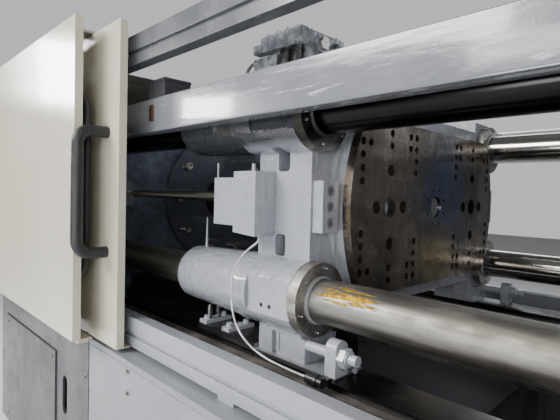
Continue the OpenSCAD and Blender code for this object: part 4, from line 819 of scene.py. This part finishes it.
def studio_lights(settings):
    """Softboxes as (place, target, size, power, colour)"""
    key, fill = settings.key_power, settings.fill_power
    day, cool = (1.0, 0.99, 0.97), (0.90, 0.95, 1.0)
    return (
        ((-3.3, -4.7, 4.1), (-1.2, -0.6, 1.2), (2.6, 1.8), key, day),
        ((1.7, -4.2, 2.0), (-1.4, -0.6, 1.2), (2.6, 1.8), fill * 2.0, day),
        ((4.6, -1.6, 3.4), (-0.8, 0.0, 1.2), (2.6, 1.8), fill * 1.3, cool),
        ((-0.6, 4.8, 3.6), (-0.9, 0.3, 1.2), (6.0, 0.9), fill * 2.6, cool),
        ((-5.15, -2.15, 2.45), (-2.2, -0.85, 1.7), (0.75, 0.62), key * 0.13, day),
        ((-5.15, -3.37, 2.34), (-1.9, -0.7, 1.5), (0.62, 0.36), key * 0.09, day),
        ((-1.8, -5.0, 2.83), (-0.4, -0.7, 1.5), (1.3, 0.4), key * 0.05, day),
        ((-1.3, -3.4, 0.75), (-2.0, -0.8, 0.95), (0.9, 0.6), fill * 0.5, cool),
    )


# Operators: one for each group of pieces

class MACHINE_OT_stage(bpy.types.Operator):
    """Sets up the floor, the soft studio light and the camera"""
    bl_idname = "machine.stage"
    bl_label = "Stage"

    def execute(self, context):
        settings = context.scene.machine_stage
        camera_data = bpy.data.cameras.new("camera")
        camera_data.sensor_width = 36.0
        camera_data.lens = settings.lens
        camera_data.clip_start = 0.05
        camera = placed("camera", camera_data)
        turn = Matrix((CAMERA_RIGHT, CAMERA_UP, CAMERA_BACK)).transposed().to_4x4()
        camera.matrix_world = Matrix.Translation(CAMERA_PLACE) @ turn
        context.scene.camera = camera

        bm = bmesh.new()
        bmesh.ops.create_grid(bm, x_segments=1, y_segments=1, size=16.0)
        mesh = bpy.data.meshes.new("studio_floor")
        bm.to_mesh(mesh)
        bm.free()
        floor = placed("studio_floor", mesh)
        matte_floor("floor", tuple(settings.floor_color))
        mesh.materials.append(FINISHES["floor"])

        context.scene.world = studio_world(settings.sky)
        for place, target, size, power, color in studio_lights(settings):
            light = bpy.data.lights.new("softbox", "AREA")
            light.shape = "RECTANGLE"
            light.size, light.size_y = size
            light.energy = power
            light.color = color
            lamp = placed("softbox", light)
            lamp.location = place
            lamp.rotation_euler = (Vector(target) - Vector(place)).to_track_quat("-Z", "Y").to_euler()
            lamp.visible_camera = False
        return {"FINISHED"}


class MACHINE_OT_cords(bpy.types.Operator):
    """Lays the sensor cable and the valve hose"""
    bl_idname = "machine.cords"
    bl_label = "Cords"

    def execute(self, context):
        lay_cord("sensor_cable_laid", smooth_route(CABLE_ROUTE, 4), CABLE_D, "white_cable", "moving_platen",
                 "sensor_cable")
        lay_cord("manifold_hose_laid", square_ends(smooth_route(HOSE_ROUTE, 3)), HOSE_D, "grey_rubber",
                 "moving_platen", "manifold_hose")
        return {"FINISHED"}


class MACHINE_OT_solids(bpy.types.Operator):
    """Gives the solids their finishes, and nearly all of them rounded edges"""
    bl_idname = "machine.solids"
    bl_label = "Solids"

    def execute(self, context):
        edges = context.scene.machine_edges
        for node, (finish_name, edge) in DRESS.items():
            if edge:
                dress_solid(node, finish_name, getattr(edges, edge + "_edge"))
            else:
                source = frame["nodes"][node]
                source.data.materials.clear()
                source.data.materials.append(FINISHES[finish_name])
        return {"FINISHED"}


class MACHINE_OT_bed_fittings(bpy.types.Operator):
    """Bolts of the bed covers, screws of the access panel and nuts of the levelling feet"""
    bl_idname = "machine.bed_fittings"
    bl_label = "Bed fittings"

    def execute(self, context):
        bolts = ((-30, 633), (-30, 190), (290, 748), (290, 683))
        washer_r, washer_t, bolt_flats, bolt_head, sunk = 9, 1.8, 11, 5.6, 0.1
        washer_y = HALF_W + washer_t / 2
        bolt_y = HALF_W + washer_t + bolt_head / 2 - sunk
        for side, name in ((-1, "front"), (1, "rear")):
            bm = bmesh.new()
            for i in range(COVER_JOINTS):
                joint = BED_X0 + FIRST_COVER + i * COVER_PITCH
                for dx, z in bolts:
                    add_bar(bm, (joint + dx, side * washer_y, z), washer_r, washer_t, "Y", 24)
                    add_hex(bm, (joint + dx, side * bolt_y, z), bolt_flats, bolt_head, "Y")
            soften(bm, 0.0006, 1)
            piece_from(bm, name + "_cover_bolts", "screw_steel", "bed")
        low, high = in_mm(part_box("access_panel"))
        margin_x, margin_z, screw_d = 32, 30, 5
        bm = bmesh.new()
        for x in (low[0] + margin_x, high[0] - margin_x):
            for z in (low[2] + margin_z, high[2] - margin_z):
                add_cap_screw(bm, (x, low[1], z), screw_d, "Y", -1)
        piece_from(bm, "access_panel_screws", "screw_steel", NODE_BODY["access_panel"])
        feet, end_margin, foot_y, nut_z, nut_flats, nut_h = 6, 210, 780, 38, 60, 20
        bm = bmesh.new()
        for i in range(feet):
            x = BED_X0 + end_margin + i * (BED_LEN - 2 * end_margin) / (feet - 1)
            for side in (-1, 1):
                add_hex(bm, (x, side * foot_y, nut_z), nut_flats, nut_h, "Z")
        soften(bm, 0.0015, 1)
        piece_from(bm, "levelling_nuts", "blackened_steel", "bed")
        return {"FINISHED"}


class MACHINE_OT_platen_fittings(bpy.types.Operator):
    """Screws and lips of the wiper rings, set screws in the bosses and springs behind the shoes"""
    bl_idname = "machine.platen_fittings"
    bl_label = "Platen fittings"

    def execute(self, context):
        bars = [(y, z) for y in (-TIE_Y, TIE_Y) for z in (AXIS_Z - TIE_Z, AXIS_Z + TIE_Z)]
        ring_screws, first_angle, screw_circle, ring_screw_d = 6, 20, 81, 5
        bm = bmesh.new()
        for y, z in bars:
            for k in range(ring_screws):
                a = math.radians(first_angle + 360 / ring_screws * k)
                place = (RING_FACE_X, y + screw_circle * math.cos(a), z + screw_circle * math.sin(a))
                add_cap_screw(bm, place, ring_screw_d, "X")
        piece_from(bm, "wiper_ring_screws", "screw_steel", "moving_platen")
        lip = ((-1086, 55.4), (-1077, 55.4), (-1073.5, 56.2), (-1074.5, 60), (-1080, 62), (-1086, 62))
        bm = bmesh.new()
        for y, z in bars:
            loop = [bm.verts.new((x * MM, y * MM, (z + r) * MM)) for x, r in lip]
            edges = [bm.edges.new(pair) for pair in zip(loop, loop[1:] + loop[:1])]
            bmesh.ops.spin(bm, geom=loop + edges, cent=(0, y * MM, z * MM), axis=(1, 0, 0), dvec=(0, 0, 0),
                           angle=2 * math.pi, steps=96, use_merge=True)
        bmesh.ops.recalc_face_normals(bm, faces=bm.faces)
        piece_from(bm, "wiper_lips", "lip_rubber", "moving_platen")
        set_screw_r, set_screw_y, set_screw_z, socket_rim = 5.5, 625.4, 992, 2.2
        bm = bmesh.new()
        for side in (-1, 1):
            for x in (-1210, -1180):
                screw = add_bar(bm, (x, side * set_screw_y, set_screw_z), set_screw_r, 1.0, "Y", 20)
                outer = end_face(screw, (0, side, 0))
                bmesh.ops.inset_individual(bm, faces=[outer], thickness=socket_rim * MM)
        piece_from(bm, "boss_set_screws", "blackened_steel", "moving_platen")
        self.shoe_springs()
        return {"FINISHED"}

    def shoe_springs(self):
        spring_x, spring_z, coil_r, wire_r, pitch = -1522, 880.0, 7.5, 1.3, 5.6
        pin_r, pin_len, pin_z = 4.5, 46, 900
        turns, steps = 7, 16
        quarter = Matrix.Rotation(math.radians(90), 4, "X")
        bm = bmesh.new()
        for side in (-1, 1):
            for y in (528, 560):
                centre = Vector((spring_x, side * y, spring_z)) * MM
                start = Matrix.Translation(centre + Vector((coil_r * MM, 0, 0))) @ quarter
                wire = bmesh.ops.create_circle(bm, cap_ends=False, segments=8, radius=wire_r * MM,
                                               matrix=start)["verts"]
                rim = list({e for v in wire for e in v.link_edges})
                bmesh.ops.spin(bm, geom=wire + rim, cent=centre, axis=(0, 0, 1),
                               dvec=(0, 0, pitch * MM / steps), angle=2 * math.pi * turns,
                               steps=turns * steps, use_merge=False)
                add_bar(bm, (spring_x, side * y, pin_z), pin_r, pin_len, "Z", 20)
        bmesh.ops.holes_fill(bm, edges=[e for e in bm.edges if e.is_boundary], sides=8)
        bmesh.ops.recalc_face_normals(bm, faces=bm.faces)
        piece_from(bm, "shoe_springs", "screw_steel", "moving_platen")


class MACHINE_OT_manifold_fittings(bpy.types.Operator):
    """Screws, plugs, coil rings and hose nut of the valve manifold"""
    bl_idname = "machine.manifold_fittings"
    bl_label = "Manifold fittings"

    def execute(self, context):
        x0, x1, top = MANIFOLD_X0, MANIFOLD_X1, MANIFOLD_TOP
        first_slice, slice_pitch, stack_rise, stack_screw_d, body_screw_d = 44, 36, 6, 6, 8
        bm = bmesh.new()
        for i in range(4):
            for y in (-590, -568):
                place = (x0 + first_slice + slice_pitch * i, y, top + stack_rise)
                add_cap_screw(bm, place, stack_screw_d, "Z")
        for x in (x0 + first_slice, x0 + 160):
            for y in (-550, -450):
                add_cap_screw(bm, (x, y, top), body_screw_d, "Z")
        for z in (1612, 1672):
            add_cap_screw(bm, (x1, -470, z), body_screw_d, "X")
        piece_from(bm, "manifold_screws", "screw_steel", "moving_platen")
        end_plug = (x1 + 12, -526, 1663)
        hose_nut = (-1286, -594, 1630)
        hose_collar = (-1290.6, -594, 1630)
        bm = bmesh.new()
        add_hex(bm, end_plug, 30, 8, "X")
        add_hex(bm, hose_nut, 16, 10, "X")
        add_bar(bm, hose_collar, 6.5, 3, "X", 24)
        for x in (x0 + 70, x0 + 120):
            add_bar(bm, (x, -500, top + 4), 14, 8, "Z")
            add_hex(bm, (x, -500, top + 11), 17, 8, "Z")
        soften(bm, 0.0006, 1)
        piece_from(bm, "manifold_plugs", "ground_steel", "moving_platen")
        coil_y, coil_pitch, coil_r = -584, 38, 18.6
        bm = bmesh.new()
        for i in range(2):
            x = x0 + 110 + coil_pitch * i
            for z in (1606, 1640):
                add_bar(bm, (x, coil_y, z), coil_r, 4, "Z", 36)
            add_hex(bm, (x, coil_y, 1597), 22, 8, "Z")
        soften(bm, 0.0008)
        piece_from(bm, "coil_rings", "black_plastic", "moving_platen")
        return {"FINISHED"}


class MACHINE_OT_beam_fittings(bpy.types.Operator):
    """Tube clip and terminal box screws on the front beam, and the guard's screws"""
    bl_idname = "machine.beam_fittings"
    bl_label = "Beam fittings"

    def execute(self, context):
        bm = bmesh.new()
        add_box(bm, (-1669, -706, 1502), (-1661, -700, 1548))
        add_box(bm, (-1655, -706, 1502), (-1647, -700, 1548))
        add_box(bm, (-1672, -703, 1499), (-1644, -700, 1504))
        soften(bm, 0.0012)
        piece_from(bm, "beam_clip", "copper_tube", "bed")
        low, high = in_mm(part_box("terminal_box"))
        margin_x, margin_y, screw_d = 14, 12, 4
        bm = bmesh.new()
        for x in (low[0] + margin_x, high[0] - margin_x):
            for y in (low[1] + margin_y, high[1] - margin_y):
                add_cap_screw(bm, (x, y, high[2]), screw_d, "Z")
        piece_from(bm, "terminal_box_screws", "screw_steel", "bed")
        low, high = in_mm(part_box("clamp_guard"))
        count, margin_x, margin_z, screw_d = 5, 60, 40, 5
        pitch = (high[0] - low[0]) * 0.8 / (count - 1)
        bm = bmesh.new()
        for i in range(count):
            for side, y in ((-1, low[1]), (1, high[1])):
                for z in (low[2] + margin_z, high[2] - margin_z):
                    add_cap_screw(bm, (low[0] + margin_x + i * pitch, y, z), screw_d, "Y", side)
        piece_from(bm, "guard_screws", "screw_steel", "bed")
        return {"FINISHED"}


class MACHINE_OT_console_fittings(bpy.types.Operator):
    """Framed screen and push buttons of the operator's console, latches of the cabinet door"""
    bl_idname = "machine.console_fittings"
    bl_label = "Console fittings"

    def execute(self, context):
        low, high = in_mm(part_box("operator_panel"))
        x0, x1, face_y = low[0], high[0], -HALF_W
        bm = bmesh.new()
        add_box(bm, (x0 + 62, face_y + 3.5, 1402), (x1 - 62, face_y + 6, 1638))
        soften(bm, 0.0005, 1)
        piece_from(bm, "console_screen", "screen_glass", "bed")
        rim_w, rim_depth, rim_t = 16, 6, 0.4
        bm = bmesh.new()
        block = add_box(bm, (x0 + 60.5, face_y - 2, 1400.5), (x1 - 60.5, face_y + 5.9, 1639.5))
        front = end_face(block, (0, -1, 0))
        bmesh.ops.inset_individual(bm, faces=[front], thickness=rim_w * MM)
        bmesh.ops.translate(bm, verts=front.verts, vec=(0, rim_depth * MM, 0))
        back = end_face(bm.verts, (0, 1, 0))
        bmesh.ops.delete(bm, geom=[front, back], context="FACES_ONLY")
        bmesh.ops.solidify(bm, geom=bm.faces, thickness=-rim_t * MM)
        piece_from(bm, "screen_frame", "black_plastic", "bed")
        first_button, button_pitch, button_z = 80, 50, 1290
        for i, tone in enumerate(("green_plastic", "black_plastic", "white_cable", "black_plastic")):
            x = x0 + first_button + button_pitch * i
            bm = bmesh.new()
            add_bar(bm, (x, face_y + 0.5, button_z), 11.6, 9, "Y")
            add_bar(bm, (x, face_y - 5.5, button_z), 9, 5, "Y")
            soften(bm, 0.0012)
            piece_from(bm, "push_button_%d" % (i + 1), tone, "bed")
        low, _ = in_mm(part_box("cabinet_door"))
        latch_x, latch_r, grip_half_w, grip_half_h = low[0] + 36, 14, 3, 10
        bm = bmesh.new()
        for z in (980, 1360):
            add_bar(bm, (latch_x, low[1] - 0.5, z), latch_r, 5, "Y")
            add_box(bm, (latch_x - grip_half_w, low[1] - 9, z - grip_half_h),
                    (latch_x + grip_half_w, low[1] - 2, z + grip_half_h))
        soften(bm, 0.0008)
        piece_from(bm, "door_latches", "black_plastic", NODE_BODY["cabinet_door"])
        return {"FINISHED"}


class MACHINE_OT_barrel_fittings(bpy.types.Operator):
    """Clamp screws and terminal covers of the heater bands"""
    bl_idname = "machine.barrel_fittings"
    bl_label = "Barrel fittings"

    def execute(self, context):
        low, _ = in_mm(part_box("heater_bands"))
        bands, band_pitch, lug_y0, lug_y1, lug_half, screw_d = 4, 170, 87, 97, (9, 14), 6
        bm = bmesh.new()
        for i in range(bands):
            x = low[0] + band_pitch * i
            for dx in (22, 108):
                add_box(bm, (x + dx - lug_half[0], lug_y0, AXIS_Z - lug_half[1]),
                        (x + dx + lug_half[0], lug_y1, AXIS_Z + lug_half[1]))
                add_cap_screw(bm, (x + dx, (lug_y0 + lug_y1) / 2, AXIS_Z + lug_half[1]), screw_d, "Z")
            add_bar(bm, (x + 65, 0, AXIS_Z + 121), 5, 6, "Z", 20)
        soften(bm, 0.0006, 1)
        piece_from(bm, "band_screws", "screw_steel", NODE_BODY["heater_bands"])
        return {"FINISHED"}


class MACHINE_PT_panel(bpy.types.Panel):
    """Lists the machine's operators"""
    bl_label = "Moulding Machine"
    bl_idname = "MACHINE_PT_panel"
    bl_space_type = "VIEW_3D"
    bl_region_type = "UI"
    bl_category = "Moulding Machine"

    def draw(self, context):
        for operator in STEPS:
            self.layout.operator(operator.bl_idname)
        for group in ("machine_finish", "machine_edges", "machine_stage"):
            settings = getattr(context.scene, group)
            for name in settings.__annotations__:
                self.layout.prop(settings, name)


STEPS = (MACHINE_OT_stage, MACHINE_OT_cords, MACHINE_OT_solids, MACHINE_OT_bed_fittings,
         MACHINE_OT_platen_fittings, MACHINE_OT_manifold_fittings, MACHINE_OT_beam_fittings,
         MACHINE_OT_console_fittings, MACHINE_OT_barrel_fittings)
CLASSES = (FinishSettings, EdgeSettings, StageSettings, *STEPS, MACHINE_PT_panel)


def register():
    for cls in CLASSES:
        bpy.utils.register_class(cls)
    bpy.types.Scene.machine_finish = PointerProperty(type=FinishSettings)
    bpy.types.Scene.machine_edges = PointerProperty(type=EdgeSettings)
    bpy.types.Scene.machine_stage = PointerProperty(type=StageSettings)


def unregister():
    del bpy.types.Scene.machine_finish
    del bpy.types.Scene.machine_edges
    del bpy.types.Scene.machine_stage
    for cls in reversed(CLASSES):
        bpy.utils.unregister_class(cls)


def main():
    register()
    make_finishes(bpy.context.scene.machine_finish)
    for operator in STEPS:
        group, name = operator.bl_idname.split(".")
        getattr(getattr(bpy.ops, group), name)()


if __name__ == "__main__":
    main()
